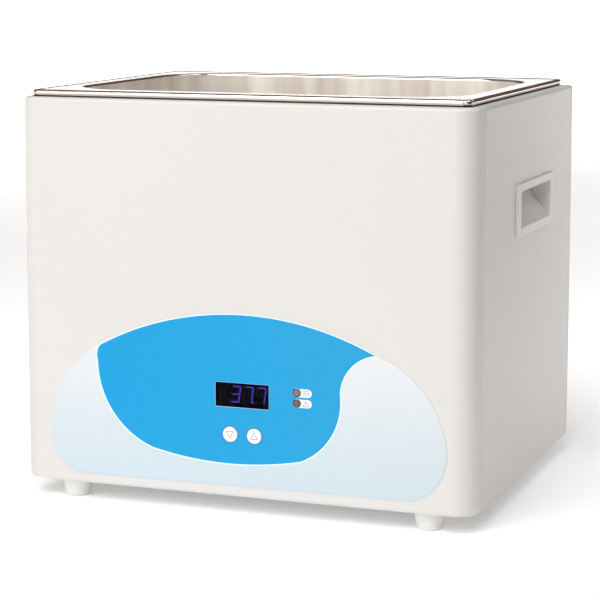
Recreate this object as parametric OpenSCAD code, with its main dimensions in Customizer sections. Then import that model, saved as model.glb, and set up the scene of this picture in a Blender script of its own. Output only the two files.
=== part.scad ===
// Unstirred digital water bath: a wrapped steel casing on four feet, a drawn
// stainless tank hung in its top, recessed side grips, a front label with a
// four-digit display and two keys, and the heating and control parts inside.
// The front faces -Y. The origin is on the surface that the bath stands on,
// under the middle of the casing.

/* [Casing] */
// Width of the casing
body_w = 360; // [350:1:380]
// Depth of the casing with its back panel
body_d = 290; // [284:1:310]
// Height of the casing without its feet and rim
body_h = 292.5; // [285:0.5:320]
// Thickness of the painted steel sheet
sheet_t = 1.2; // [1:0.1:1.5]
// Plan radius of the two front corners
corner_r = 19; // [14:0.5:24]
// Radius of the folds along the top and bottom edges
fold_r = 3; // [2.5:0.5:4]

/* [Feet] */
// Height of a foot
foot_h = 14; // [12:0.5:20]
// Diameter at the top of a foot
foot_d = 24; // [20:0.5:28]
// Diameter at the bottom of a foot
foot_tip_d = 19; // [16:0.5:20]
// Distance of the feet from the middle, left and right
foot_x = 141.5; // [135:0.5:142]
// Distance of the feet from the middle, front and back
foot_y = 127; // [125:0.5:128]

/* [Tank] */
// Inner width of the tank
tank_w = 310; // [290:1:312]
// Inner depth of the tank, front to back
tank_d = 228; // [200:1:230]
// Depth of the tank from its rim to its floor
tank_depth = 160; // [120:1:170]
// Plan radius of the tank's corners
tank_r = 45; // [35:1:50]
// Thickness of the stainless sheet
tank_t = 1; // [0.8:0.1:1.2]
// Outer width of the rim
rim_w = 345; // [343:0.5:346]
// Outer depth of the rim
rim_d = 274; // [272:0.5:275]
// Height of the rolled rim
rim_h = 4.8; // [4.5:0.1:6]

/* [Grips] */
// Length of a grip's bezel
grip_l = 112; // [100:1:120]
// Height of a grip's bezel
grip_h = 40; // [36:1:44]
// Depth of the finger pocket behind the bezel's face
grip_depth = 20; // [16:0.5:20]
// Distance of the grips behind the middle
grip_y = 15; // [0:1:20]
// Height of the grips' centre above the casing's underside
grip_z = 208.8; // [200:0.2:215]

/* [Front panel] */
// Distance of the panel's centre line to the right of the casing's
panel_x = 2.4; // [0:0.2:4]
// Width of the display window
window_w = 42; // [38:0.5:44]
// Height of the display window
window_h = 18; // [16:0.5:20]
// Diameter of a key
key_d = 11.3; // [10:0.1:12]
// Distance between the two keys
key_pitch = 19.1; // [17:0.1:22]
// Travel of a key
key_travel = 0.5; // [0.3:0.1:0.6]
// Diameter of an indicator lens
lamp_d = 6.4; // [5:0.1:6.6]

/* [Rear panel] */
// Height of the mains inlet's centre above the ground
inlet_z = 66; // [60:1:90]
// Distance of the mains inlet from the middle
inlet_x = -112; // [-120:1:-90]
// Angle that the power rocker turns through
rocker_swing = 20; // [16:1:24]

/* [Hidden] */
$fn = 48;
eps = 0.01;

// Colours
paint_grey = [0.89, 0.88, 0.86];
steel = [0.78, 0.76, 0.73];
zinc = [0.70, 0.71, 0.72];
label_blue = [0.16, 0.64, 0.88];
board_green = [0.10, 0.36, 0.20];
black_plastic = [0.10, 0.10, 0.11];

// Casing levels and faces
case_z = foot_h;
case_top = case_z + body_h;
front_y = -body_d / 2;
rear_y = body_d / 2 - sheet_t;
rear_r = 3.5;
inner_front_y = front_y + sheet_t;
service_w = 240;
service_d = 210;
base_lap = 8;
rear_frame = 16;
rear_gap = 4;

// Tank levels
gasket_t = 0.5;
rim_z = case_top + gasket_t;
rim_top = rim_z + rim_h;
tank_floor = rim_top - tank_depth;
rim_corner_r = 6;
hem_r = rim_h / 2;
hem_leg = 4.5;
lip_r = 2;
floor_r = 15;
opening_gap = 3;
stud_r = 2;
rim_stud_x = 110;
rim_stud_y = 126;
rim_stud_l = 15;
nut_h = 4;
nut_r = 4.6;
fit_gap = 0.1;

// Shelf in the tank
shelf_gap = 8;
shelf_rise = 20;
shelf_lift = 0.3;
shelf_hole_d = 10;
shelf_pitch = 22;
shelf_w = tank_w - 2 * shelf_gap;
shelf_d = tank_d - 2 * shelf_gap;
shelf_z = tank_floor + shelf_lift;

// Grips
grip_hole_l = 92;
grip_hole_h = 28;
grip_proud = 2;
grip_wall = 1.5;

// Front panel, heights above the casing's underside
label_t = 0.4;
window_z = case_z + 77.2;
key_z = case_z + 47.4;
lamp_x = panel_x + 43;
lamp_z = case_z + 78.5;
lamp_pitch = 7.8;
panel_gap = 0.3;
board_y = front_y + 12;
board_t = 1.6;
board_w = 130;
board_h = 75;
board_x = panel_x + 8;
board_z = case_z + 64;
module_t = 8.6;
switch_h = 3.5;
plunger_h = 1.1;

// Ribbon headers on the two boards
header_x = board_x + 54;
header_w = 11;
header_t = 6;

// Power board on the base plate
power_x = 62;
power_y = 30;
power_w = 110;
power_d = 90;
power_z = case_z + 10;

// Heating parts under the tank
mat_t = 2;
plate_t = 2;
mat_w = 200;
mat_d = 140;
heater_stud_x = 90;
heater_stud_y = 60;
jacket_t = 12;
jacket_top = rim_top - 20;
jacket_floor = tank_floor - tank_t - 27;

// Rear parts
flange_t = 3;
inlet_body_w = 48;
inlet_body_h = 34;
inlet_depth = 28;
socket_w = 24;
socket_h = 16;
socket_depth = 18;
drawer_w = 26;
drawer_h = 7;
drawer_z = inlet_z - 11;
socket_z = inlet_z + 4;
switch_x = inlet_x + 52;
switch_w = 17;
switch_l = 29;
rocker_w = 12;
rocker_r = 12;
rocker_y = rear_y + 0.5;
outer_y = rear_y + sheet_t;

// Outline of the label: each arc runs through three points, measured from the
// panel's centre line and the casing's underside
label_tip_l = [-115, 108];
label_tip_r = [104, 113.5];

// Points on the circle through three points, from the first to the last
function arc_centre(a, b, c) =
    let (
        d = 2 * (a.x * (b.y - c.y) + b.x * (c.y - a.y) + c.x * (a.y - b.y)),
        qa = a * a,
        qb = b * b,
        qc = c * c
    )
    [
        (qa * (b.y - c.y) + qb * (c.y - a.y) + qc * (a.y - b.y)) / d,
        (qa * (c.x - b.x) + qb * (a.x - c.x) + qc * (b.x - a.x)) / d
    ];
function turn(a, b) = ((b - a) % 360 + 360) % 360;
function arc(a, b, c, n = 12) =
    let (
        m = arc_centre(a, b, c),
        r = norm(a - m),
        t0 = atan2(a.y - m.y, a.x - m.x),
        via = turn(t0, atan2(b.y - m.y, b.x - m.x)),
        full = turn(t0, atan2(c.y - m.y, c.x - m.x)),
        sweep = via < full ? full : full - 360
    )
    [for (i = [0 : n - 1]) m + r * [cos(t0 + sweep * i / n), sin(t0 + sweep * i / n)]];

// Ring of points around each point of a route, carried along without twist
function unit(v) = v / norm(v);
function spline(p, i, t) =
    let (
        a = p[max(i - 1, 0)],
        b = p[i],
        c = p[i + 1],
        d = p[min(i + 2, len(p) - 1)]
    )
    b + (c - a) * t / 2 + (2 * a - 5 * b + 4 * c - d) * t * t / 2
        + (3 * b - a - 3 * c + d) * t * t * t / 2;
function route(p, n) = [
    for (i = [0 : len(p) - 2], k = [0 : n - 1]) spline(p, i, k / n),
    p[len(p) - 1]
];
function heading(q, i) = unit(q[min(i + 1, len(q) - 1)] - q[max(i - 1, 0)]);
function square_to(v, h) = unit(v - (v * h) * h);

// ---------------------------------------------------------------- tools

module round_rect(w, h, r) {
    square([w - 2 * r, h], center = true);
    square([w, h - 2 * r], center = true);
    for (sx = [-1, 1], sy = [-1, 1])
        translate([sx * (w / 2 - r), sy * (h / 2 - r)]) circle(r);
}

// Extrudes an outline drawn in X and Z along +Y
module along_y(y, t) {
    translate([0, y + t, 0]) rotate([90, 0, 0]) linear_extrude(t) children();
}

// Extrudes an outline drawn in Y and Z along +X
module along_x(x, t) {
    translate([x, 0, 0]) rotate([90, 0, 90]) linear_extrude(t) children();
}

module quarter_ring(r, t) {
    intersection() {
        difference() {
            circle(r);
            circle(r - t);
        }
        square(r);
    }
}

// Sweeps a section around a rounded rectangle. The section's X runs outward
// from the corner centres, which are r inside the edges.
module sweep_round(w, d, r) {
    for (i = [0 : 3])
        translate([(i == 0 || i == 3 ? 1 : -1) * (w / 2 - r), (i < 2 ? 1 : -1) * (d / 2 - r), 0])
            rotate([0, 0, 90 * i]) rotate_extrude(angle = 90) children();
    sweep_sides(w, d, r) children();
}

module sweep_sides(w, d, r) {
    for (turned = [0, 180]) rotate([0, 0, turned]) {
        translate([w / 2 - r, d / 2 - r, 0])
            rotate([90, 0, 0]) linear_extrude(d - 2 * r) children();
        translate([-w / 2 + r, d / 2 - r, 0])
            rotate([90, 0, 90]) linear_extrude(w - 2 * r) children();
    }
}

// Pan-head screw with a cross recess, its head's seat at z = 0, pointing down
module screw(r, l) {
    difference() {
        union() {
            translate([0, 0, -l]) cylinder(r = r, h = l + eps);
            cylinder(r = 1.9 * r, h = 0.7 * r);
            translate([0, 0, 0.7 * r]) cylinder(r1 = 1.9 * r, r2 = 1.35 * r, h = 0.4 * r);
        }
        for (a = [0, 90]) rotate([0, 0, a])
            translate([-1.1 * r, -0.2 * r, 0.6 * r]) cube([2.2 * r, 0.4 * r, r]);
    }
}

module nut(hole_r) {
    difference() {
        cylinder(r = nut_r, h = nut_h, $fn = 6);
        translate([0, 0, -1]) cylinder(r = hole_r, h = nut_h + 2);
    }
}

module at_corners(x, y) {
    for (sx = [-1, 1], sy = [-1, 1]) translate([sx * x, sy * y, 0]) children();
}

// Round lead of radius r along a route through the points p
module lead(p, r, n = 6, sides = 8) {
    q = route(p, n);
    last = len(q) - 1;
    frames = [
        for (
            i = 0, v = square_to([0.31, 0.57, 0.76], heading(q, 0));
            i <= last;
            i = i + 1, v = i <= last ? square_to(v, heading(q, i)) : v
        ) v
    ];
    rings = [
        for (i = [0 : last], k = [0 : sides - 1])
            let (h = heading(q, i), a = 360 * k / sides)
            q[i] + r * (cos(a) * frames[i] + sin(a) * cross(h, frames[i]))
    ];
    walls = [
        for (i = [0 : last - 1], k = [0 : sides - 1])
            let (m = (k + 1) % sides)
            [i * sides + k, (i + 1) * sides + k, (i + 1) * sides + m, i * sides + m]
    ];
    start = [for (k = [0 : sides - 1]) k];
    end = [for (k = [0 : sides - 1]) (last + 1) * sides - 1 - k];
    polyhedron(rings, concat([start, end], walls), convexity = 8);
}

// ---------------------------------------------------------------- casing

// Upright wall with a quarter fold at its top and bottom
module wall_section(r) {
    translate([r - sheet_t, fold_r]) square([sheet_t, body_h - 2 * fold_r]);
    translate([r - fold_r, body_h - fold_r]) quarter_ring(fold_r, sheet_t);
    translate([r - fold_r, fold_r]) mirror([0, 1]) quarter_ring(fold_r, sheet_t);
}

module case_walls() {
    fx = body_w / 2 - corner_r;
    rx = body_w / 2 - rear_r;
    for (side = [0, 1]) mirror([side, 0, 0]) {
        translate([fx, front_y + corner_r, 0])
            rotate([0, 0, -90]) rotate_extrude(angle = 90) wall_section(corner_r);
        translate([rx, rear_y - rear_r, 0])
            rotate_extrude(angle = 90) wall_section(rear_r);
        translate([rx, rear_y - rear_r, 0]) rotate([90, 0, 0])
            linear_extrude(rear_y - rear_r - front_y - corner_r) wall_section(rear_r);
    }
    translate([-fx, front_y + corner_r, 0]) rotate([90, 0, 90])
        linear_extrude(2 * fx) mirror([1, 0]) wall_section(corner_r);
    translate([-rx, rear_y - rear_r, 0]) rotate([90, 0, 90])
        linear_extrude(2 * rx) wall_section(rear_r);
}

// Plan of the casing's flat top and bottom, inside the folds
module case_plan() {
    x = body_w / 2 - fold_r;
    y0 = front_y + fold_r;
    y1 = rear_y - fold_r;
    rf = corner_r - fold_r;
    rr = rear_r - fold_r;
    translate([-x, y0 + rf]) square([2 * x, y1 - rr - y0 - rf]);
    translate([rf - x, y0]) square([2 * (x - rf), rf + 1]);
    translate([rr - x, y1 - rr - 1]) square([2 * (x - rr), rr + 1]);
    for (s = [-1, 1]) {
        translate([s * (x - rf), y0 + rf]) circle(rf);
        translate([s * (x - rr), y1 - rr]) circle(rr);
    }
}

module tank_opening() {
    grow = 2 * (tank_t + opening_gap);
    round_rect(tank_w + grow, tank_d + grow, tank_r + grow / 2);
}

module back_screw_places() {
    x = body_w / 2 - rear_gap - 7;
    z = body_h / 2 - rear_gap - 7;
    for (sx = [-1, 1], sz = [-1, 0, 1])
        translate([sx * x, 0, case_z + body_h / 2 + sz * z]) children();
    for (sz = [-1, 1])
        translate([0, 0, case_z + body_h / 2 + sz * z]) children();
}

module base_screw_places() {
    for (sx = [-1, 0, 1], sy = [-1, 1])
        translate([sx * (service_w / 2 - 12), sy * (service_d / 2 + base_lap / 2), 0]) children();
}

module front_openings() {
    along_y(front_y - 1, sheet_t + 2) {
        translate([panel_x, window_z])
            square([window_w + panel_gap, window_h + panel_gap], center = true);
        for (s = [-1, 1]) {
            translate([panel_x + s * key_pitch / 2, key_z]) circle(key_d / 2 + panel_gap);
            translate([lamp_x, lamp_z + s * lamp_pitch / 2]) circle(lamp_d / 2 + fit_gap);
        }
    }
}

module outer_case() {
    color(paint_grey) difference() {
        union() {
            translate([0, 0, case_z]) case_walls();
            translate([0, 0, case_top - sheet_t]) linear_extrude(sheet_t) difference() {
                case_plan();
                tank_opening();
                for (sx = [-1, 1], sy = [-1, 1])
                    translate([sx * rim_stud_x, sy * rim_stud_y]) circle(stud_r + 0.5);
            }
            translate([0, 0, case_z]) linear_extrude(sheet_t) difference() {
                case_plan();
                square([service_w, service_d], center = true);
                for (sx = [-1, 1], sy = [-1, 1])
                    translate([sx * foot_x, sy * foot_y]) circle(2.2);
            }
        }
        front_openings();
        translate([0, 0, case_z + body_h / 2]) along_y(rear_y - 2 * sheet_t, 4 * sheet_t)
            square([body_w - 2 * rear_frame, body_h - 2 * rear_frame], center = true);
        for (s = [0, 1]) mirror([s, 0, 0]) along_x(body_w / 2 - 3, 6)
            translate([grip_y, case_z + grip_z])
                square([grip_hole_l + 2 * grip_wall + 0.6, grip_hole_h + 2 * grip_wall + 0.6],
                       center = true);
        back_screw_places() translate([0, rear_y - 3, 0]) rotate([-90, 0, 0]) cylinder(r = 1.6, h = 6);
        base_screw_places() translate([0, 0, case_z - 2]) cylinder(r = 1.6, h = 6);
    }
}

module vent_slots() {
    for (i = [-6 : 6]) translate([70 + i * 11, case_z + 62]) {
        square([4, 40], center = true);
        for (s = [-1, 1]) translate([0, s * 20]) circle(2);
    }
}

module back_panel() {
    color(paint_grey) difference() {
        along_y(rear_y, sheet_t) difference() {
            translate([0, case_z + body_h / 2])
                round_rect(body_w - 2 * rear_gap, body_h - 2 * rear_gap, 4);
            vent_slots();
            translate([inlet_x, inlet_z])
                square([inlet_body_w + 0.6, inlet_body_h + 0.6], center = true);
            translate([switch_x, inlet_z])
                square([switch_w - 2.4, switch_l - 2.4], center = true);
            for (s = [-1, 1]) translate([inlet_x + s * 28, socket_z]) circle(1.7);
        }
        back_screw_places() translate([0, rear_y - 1, 0]) rotate([-90, 0, 0]) cylinder(r = 1.8, h = 4);
    }
}

module back_panel_screws() {
    color(zinc) back_screw_places()
        translate([0, rear_y + sheet_t, 0]) rotate([-90, 0, 0]) screw(1.5, 7);
}

module base_plate() {
    color(zinc) translate([0, 0, case_z - sheet_t]) linear_extrude(sheet_t) difference() {
        round_rect(service_w + 2 * base_lap, service_d + 2 * base_lap, 4);
        base_screw_places() circle(1.8);
        for (i = [-5 : 5], j = [-1, 1]) translate([-50 + i * 10, j * 50]) {
            square([4, 30], center = true);
            for (s = [-1, 1]) translate([0, s * 15]) circle(2);
        }
        power_corner_places() circle(1.4);
    }
}

module base_plate_screws() {
    color(zinc) translate([0, 0, case_z - sheet_t]) {
        base_screw_places() rotate([180, 0, 0]) screw(1.5, 7);
        power_corner_places() rotate([180, 0, 0]) screw(1.2, 5);
    }
}

// ---------------------------------------------------------------- feet

module foot() {
    r0 = foot_tip_d / 2;
    r1 = foot_d / 2;
    edge = 1.5;
    color("ghostwhite") difference() {
        union() {
            translate([0, 0, edge]) cylinder(r1 = r0 + 0.2, r2 = r1, h = foot_h - edge);
            rotate_extrude() {
                square([r0 + 0.2 - edge, edge]);
                translate([r0 + 0.2 - edge, edge])
                    intersection() {
                        circle(edge);
                        translate([0, -edge]) square(edge);
                    }
            }
        }
        translate([0, 0, -1]) cylinder(r = 5, h = 1 + foot_h - 6);
        translate([0, 0, -1]) cylinder(r = 2.2, h = foot_h + 2);
    }
}

module foot_front_left() { translate([-foot_x, -foot_y, 0]) foot(); }
module foot_front_right() { translate([foot_x, -foot_y, 0]) foot(); }
module foot_rear_left() { translate([-foot_x, foot_y, 0]) foot(); }
module foot_rear_right() { translate([foot_x, foot_y, 0]) foot(); }

module foot_screws() {
    color(zinc) at_corners(foot_x, foot_y)
        translate([0, 0, foot_h - 6]) rotate([180, 0, 0]) screw(2, 12);
}

module foot_nuts() {
    color(zinc) at_corners(foot_x, foot_y) translate([0, 0, case_z + sheet_t]) nut(2.1);
}

// ---------------------------------------------------------------- tank

// Wall with a fillet to the floor and a rolled lip to the flange
module pan_section() {
    translate([tank_r, floor_r]) square([tank_t, tank_depth - floor_r - lip_r]);
    translate([0, -tank_t]) square([tank_r - floor_r, tank_t]);
    translate([tank_r - floor_r, floor_r]) mirror([0, 1]) quarter_ring(floor_r + tank_t, tank_t);
    translate([tank_r + lip_r, tank_depth - lip_r]) mirror([1, 0]) quarter_ring(lip_r, tank_t);
}

// Edge folded down and back under itself; X = 0 is its outermost line
module hem_section(r) {
    top = rim_h;
    translate([-r, top - r]) {
        quarter_ring(r, tank_t);
        mirror([0, 1]) quarter_ring(r, tank_t);
    }
    translate([-hem_leg, top - 2 * r]) square([hem_leg - r, tank_t]);
}

module rim_corner() {
    inset = 1;
    r = hem_r - 0.2;
    rotate_extrude(angle = 90) {
        translate([rim_corner_r - inset, 0]) hem_section(r);
        translate([0, rim_h - tank_t]) square([rim_corner_r - inset - r, tank_t]);
    }
}

module flange_plan() {
    lip = 2 * lip_r;
    difference() {
        union() {
            square([rim_w - 2 * rim_corner_r, rim_d - 2 * hem_r], center = true);
            square([rim_w - 2 * hem_r, rim_d - 2 * rim_corner_r], center = true);
        }
        round_rect(tank_w + lip, tank_d + lip, tank_r + lip_r);
    }
}

module tank() {
    color(steel) {
        translate([0, 0, tank_floor]) {
            sweep_round(tank_w, tank_d, tank_r) pan_section();
            translate([tank_r - tank_w / 2, tank_r - tank_d / 2, -tank_t])
                cube([tank_w - 2 * tank_r, tank_d - 2 * tank_r, tank_t]);
        }
        translate([0, 0, rim_top - tank_t]) linear_extrude(tank_t) flange_plan();
        translate([0, 0, rim_z]) {
            sweep_sides(rim_w, rim_d, rim_corner_r)
                translate([rim_corner_r, 0]) hem_section(hem_r);
            for (i = [0 : 3])
                translate([(i == 0 || i == 3 ? 1 : -1) * (rim_w / 2 - rim_corner_r),
                           (i < 2 ? 1 : -1) * (rim_d / 2 - rim_corner_r), 0])
                    rotate([0, 0, 90 * i]) rim_corner();
        }
        at_corners(rim_stud_x, rim_stud_y) translate([0, 0, rim_top - tank_t - rim_stud_l])
            cylinder(r = stud_r, h = rim_stud_l);
        at_corners(heater_stud_x, heater_stud_y)
            translate([0, 0, tank_floor - tank_t - 11]) cylinder(r = stud_r, h = 11);
    }
}

module rim_gasket() {
    color(black_plastic) translate([0, 0, case_top]) linear_extrude(gasket_t) difference() {
        round_rect(rim_w - 2, rim_d - 2, rim_corner_r - 1);
        round_rect(rim_w - 13, rim_d - 13, rim_corner_r - 5);
    }
}

module tank_nuts() {
    color(zinc) at_corners(rim_stud_x, rim_stud_y)
        translate([0, 0, case_top - sheet_t - nut_h]) nut(stud_r + fit_gap);
}

module base_shelf() {
    color(steel) translate([0, 0, shelf_z + shelf_rise - sheet_t]) linear_extrude(sheet_t)
        difference() {
            round_rect(shelf_w, shelf_d, tank_r - shelf_gap);
            for (i = [-5 : 5], j = [-3 : 3]) translate([i * shelf_pitch, j * shelf_pitch])
                circle(shelf_hole_d / 2);
            for (i = [-6, 6], j = [-1, 1]) translate([i * shelf_pitch, j * shelf_pitch])
                circle(shelf_hole_d / 2);
            for (s = [-1, 1]) translate([s * 6 * shelf_pitch, 0]) circle(shelf_hole_d);
        }
}

module shelf_legs() {
    leg_l = shelf_d - 80;
    color(steel) for (s = [-1, 1])
        translate([s * (shelf_w / 2 - 30) - sheet_t / 2, -leg_l / 2, shelf_z])
            cube([sheet_t, leg_l, shelf_rise - sheet_t]);
}

// ---------------------------------------------------------------- grips

// Side grip seen on the right side, its bezel's back on the plane x = 0
module grip() {
    edge = 1;
    lip = 3;
    back = grip_depth - grip_proud;
    hz = grip_hole_h / 2;
    difference() {
        union() {
            rotate([90, 0, 90]) {
                sweep_round(grip_l, grip_h, lip) {
                    square([lip - edge, grip_proud]);
                    translate([lip - edge, 0]) square([edge, grip_proud - edge]);
                    translate([lip - edge, grip_proud - edge]) intersection() {
                        circle(edge);
                        square(edge);
                    }
                }
                translate([lip - grip_l / 2, lip - grip_h / 2, 0])
                    cube([grip_l - 2 * lip, grip_h - 2 * lip, grip_proud]);
            }
            translate([0, grip_hole_l / 2 + grip_wall, 0]) rotate([90, 0, 0])
                linear_extrude(grip_hole_l + 2 * grip_wall) polygon([
                    [0, -hz - grip_wall], [0, hz + grip_wall], [-back - grip_wall, hz + grip_wall],
                    [-back - grip_wall, hz - 3], [-3, -hz - grip_wall]
                ]);
        }
        translate([0, grip_hole_l / 2, 0]) rotate([90, 0, 0]) linear_extrude(grip_hole_l)
            polygon([
                [grip_proud + 1, -hz], [grip_proud + 1, hz], [-back, hz],
                [-back, hz - 2], [0, -hz]
            ]);
    }
}

module grip_right() {
    color("lightgray") translate([body_w / 2, grip_y, case_z + grip_z]) grip();
}

module grip_left() {
    color("lightgray") mirror([1, 0, 0]) translate([body_w / 2, grip_y, case_z + grip_z]) grip();
}

// ---------------------------------------------------------------- front panel

module label_outline() {
    polygon(concat(
        arc(label_tip_l, [-6, 137.4], label_tip_r, 24),
        arc(label_tip_r, [142, 86], [157, 46]),
        arc([157, 46], [150, 23], [128, 8]),
        arc([-133, 8], [-150, 18.5], [-157, 42]),
        arc([-157, 42], [-143, 83], label_tip_l)
    ));
}

module front_label() {
    color(label_blue) along_y(front_y - label_t, label_t) difference() {
        translate([panel_x, case_z]) label_outline();
        translate([panel_x, window_z]) square([window_w + 0.2, window_h + 0.2], center = true);
        for (s = [-1, 1]) {
            translate([panel_x + s * key_pitch / 2, key_z]) circle(key_d / 2 + panel_gap);
            translate([lamp_x, lamp_z + s * lamp_pitch / 2]) circle(lamp_d / 2 + fit_gap);
        }
    }
}

module display_window() {
    color([0.08, 0.08, 0.12]) along_y(front_y - label_t + fit_gap, sheet_t + label_t - fit_gap)
        translate([panel_x, window_z]) square([window_w, window_h], center = true);
}

module display_module() {
    color(black_plastic) along_y(board_y - module_t, module_t)
        translate([panel_x, window_z]) square([window_w + 4, window_h + 2], center = true);
}

// Seven slanted bars and a point for each of four digits
module digit() {
    w = 6.9;
    h = 12.6;
    t = 1;
    lean = tan(8);
    for (row = [-1, 0, 1]) {
        z = row * (h - t) / 2;
        x = z * lean;
        polygon([
            [x - w / 2 + t, z + t / 2], [x + w / 2 - t, z + t / 2], [x + w / 2 - t / 2, z],
            [x + w / 2 - t, z - t / 2], [x - w / 2 + t, z - t / 2], [x - w / 2 + t / 2, z]
        ]);
    }
    for (side = [-1, 1], row = [-1, 1]) {
        z0 = row > 0 ? t / 2 : -h / 2 + t;
        z1 = z0 + h / 2 - 1.5 * t;
        x = side * (w - t) / 2;
        polygon([
            [x - t / 2 + z0 * lean, z0], [x + t / 2 + z0 * lean, z0],
            [x + t / 2 + z1 * lean, z1], [x - t / 2 + z1 * lean, z1]
        ]);
    }
    translate([w / 2 + 0.3, -h / 2 + 0.6]) circle(0.7);
}

module digit_segments() {
    pitch = 10;
    shift = -1.2;
    color([0.35, 0.35, 0.9]) along_y(board_y - module_t - 0.2, 0.2)
        for (i = [0 : 3]) translate([panel_x + (i - 1.5) * pitch + shift, window_z]) digit();
}

module lamp(s) {
    r = lamp_d / 2;
    dome = 0.6;
    cap_r = (r * r + dome * dome) / (2 * dome);
    color([0.36, 0.35, 0.30]) translate([lamp_x, front_y - label_t, lamp_z + s * lamp_pitch / 2])
        rotate([90, 0, 0]) rotate_extrude() {
            translate([0, front_y - label_t - board_y]) square([r, board_y - front_y + label_t]);
            intersection() {
                translate([0, dome - cap_r]) circle(cap_r);
                square([r, dome]);
            }
        }
}

module heater_lamp() { lamp(1); }
module alarm_lamp() { lamp(-1); }

module key(side) {
    cap_out = 0.8;
    flange_in = inner_front_y + 0.4;
    stem_end = board_y - switch_h - plunger_h - key_travel - fit_gap;
    color("white") translate([panel_x + side * key_pitch / 2, 0, key_z]) rotate([-90, 0, 0]) {
        translate([0, 0, front_y - cap_out])
            cylinder(r = key_d / 2, h = flange_in - front_y + cap_out);
        translate([0, 0, flange_in]) cylinder(r = key_d / 2 + 1.4, h = 1);
        translate([0, 0, flange_in + 1]) cylinder(r = 2, h = stem_end - flange_in - 1);
    }
}

module down_key() { key(-1); }
module up_key() { key(1); }

module key_switches() {
    color(black_plastic) for (s = [-1, 1]) translate([panel_x + s * key_pitch / 2, 0, key_z]) {
        translate([-3, board_y - switch_h, -3]) cube([6, switch_h, 6]);
        translate([0, board_y - switch_h - plunger_h, 0]) rotate([-90, 0, 0])
            cylinder(r = 1.7, h = plunger_h + 1);
    }
}

module board_corner_places() {
    for (sx = [-1, 1], sz = [-1, 1])
        translate([board_x + sx * (board_w / 2 - 5), 0, board_z + sz * (board_h / 2 - 5)]) children();
}

module power_corner_places() {
    for (sx = [-1, 1], sy = [-1, 1])
        translate([power_x + sx * (power_w / 2 - 6), power_y + sy * (power_d / 2 - 6), 0]) children();
}

module control_board() {
    color(board_green) {
        difference() {
            along_y(board_y, board_t) translate([board_x, board_z])
                square([board_w, board_h], center = true);
            board_corner_places() translate([0, board_y - 1, 0])
                rotate([-90, 0, 0]) cylinder(r = 1.7, h = 4);
        }
        translate([board_x - 30, board_y + board_t, board_z]) cube([12, 2, 12]);
        translate([header_x, board_y + board_t, board_z - 8]) cube([header_w, header_t, 9]);
    }
}

module spacer(l) {
    difference() {
        cylinder(r = 3.2, h = l, $fn = 6);
        translate([0, 0, -1]) cylinder(r = 1.3, h = l + 2);
    }
}

module board_standoffs() {
    color(zinc) {
        board_corner_places() translate([0, inner_front_y, 0])
            rotate([-90, 0, 0]) spacer(board_y - inner_front_y);
        power_corner_places() translate([0, 0, case_z]) spacer(power_z - case_z);
    }
}

module board_screws() {
    color(zinc) {
        board_corner_places() translate([0, board_y + board_t, 0])
            rotate([-90, 0, 0]) screw(1.2, 6);
        power_corner_places() translate([0, 0, power_z + board_t]) screw(1.2, 6);
    }
}

// ---------------------------------------------------------------- power parts

module power_board() {
    color(board_green) {
        difference() {
            translate([power_x - power_w / 2, power_y - power_d / 2, power_z])
                cube([power_w, power_d, board_t]);
            power_corner_places() translate([0, 0, power_z - 1]) cylinder(r = 1.7, h = 4);
        }
        translate([header_x, power_y - power_d / 2 + 3, power_z + board_t])
            cube([header_w, header_t, 6]);
    }
}

module transformer() {
    color([0.35, 0.33, 0.32]) translate([power_x + 22, power_y + 12, power_z + board_t]) {
        translate([-22, -9, 0]) cube([44, 18, 36]);
        for (s = [-1, 1]) translate([-12, s > 0 ? 9 : -17, 6]) cube([24, 8, 24]);
    }
}

module heater_relay() {
    color(black_plastic) translate([power_x - 42, power_y + 8, power_z + board_t])
        cube([20, 30, 16]);
}

module terminal_block() {
    color([0.2, 0.5, 0.3]) translate([power_x - 40, power_y - power_d / 2 + 2, power_z + board_t])
        difference() {
            cube([40, 10, 12]);
            for (i = [0 : 3]) translate([5 + i * 10, 5, 4]) cylinder(r = 2.6, h = 9);
        }
}

module earth_stud() {
    color("goldenrod") translate([-150, 90, case_z + sheet_t]) {
        cylinder(r = 2.5, h = 18);
        cylinder(r = 5.2, h = 4, $fn = 6);
        translate([0, 0, 4]) cylinder(r = 6, h = 1);
    }
}

// ---------------------------------------------------------------- heating parts

module heater_mat() {
    color([0.75, 0.35, 0.25]) translate([0, 0, tank_floor - tank_t - mat_t])
        linear_extrude(mat_t) difference() {
            round_rect(mat_w, mat_d, 8);
            for (sx = [-1, 1], sy = [-1, 1])
                translate([sx * heater_stud_x, sy * heater_stud_y]) circle(stud_r + 0.5);
        }
}

module heater_plate() {
    color(zinc) translate([0, 0, tank_floor - tank_t - mat_t - plate_t])
        linear_extrude(plate_t) difference() {
            round_rect(mat_w + 8, mat_d + 8, 8);
            for (sx = [-1, 1], sy = [-1, 1])
                translate([sx * heater_stud_x, sy * heater_stud_y]) circle(stud_r + 0.3);
        }
}

module heater_nuts() {
    color(zinc) at_corners(heater_stud_x, heater_stud_y)
        translate([0, 0, tank_floor - tank_t - mat_t - plate_t - nut_h]) nut(stud_r + fit_gap);
}

module thermal_cutout() {
    color([0.85, 0.83, 0.75]) translate([122, 0, tank_floor - tank_t]) {
        translate([0, 0, -6]) cylinder(r = 8, h = 6);
        for (s = [-1, 1]) translate([-3, s * 4 - 0.4, -14]) cube([6, 0.8, 8 + eps]);
    }
}

module temperature_probe() {
    color(steel) translate([-122, 20, tank_floor - tank_t - 2.6]) rotate([90, 0, 0]) {
        cylinder(r = 2.5, h = 40);
        sphere(r = 2.5);
    }
}

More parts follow.
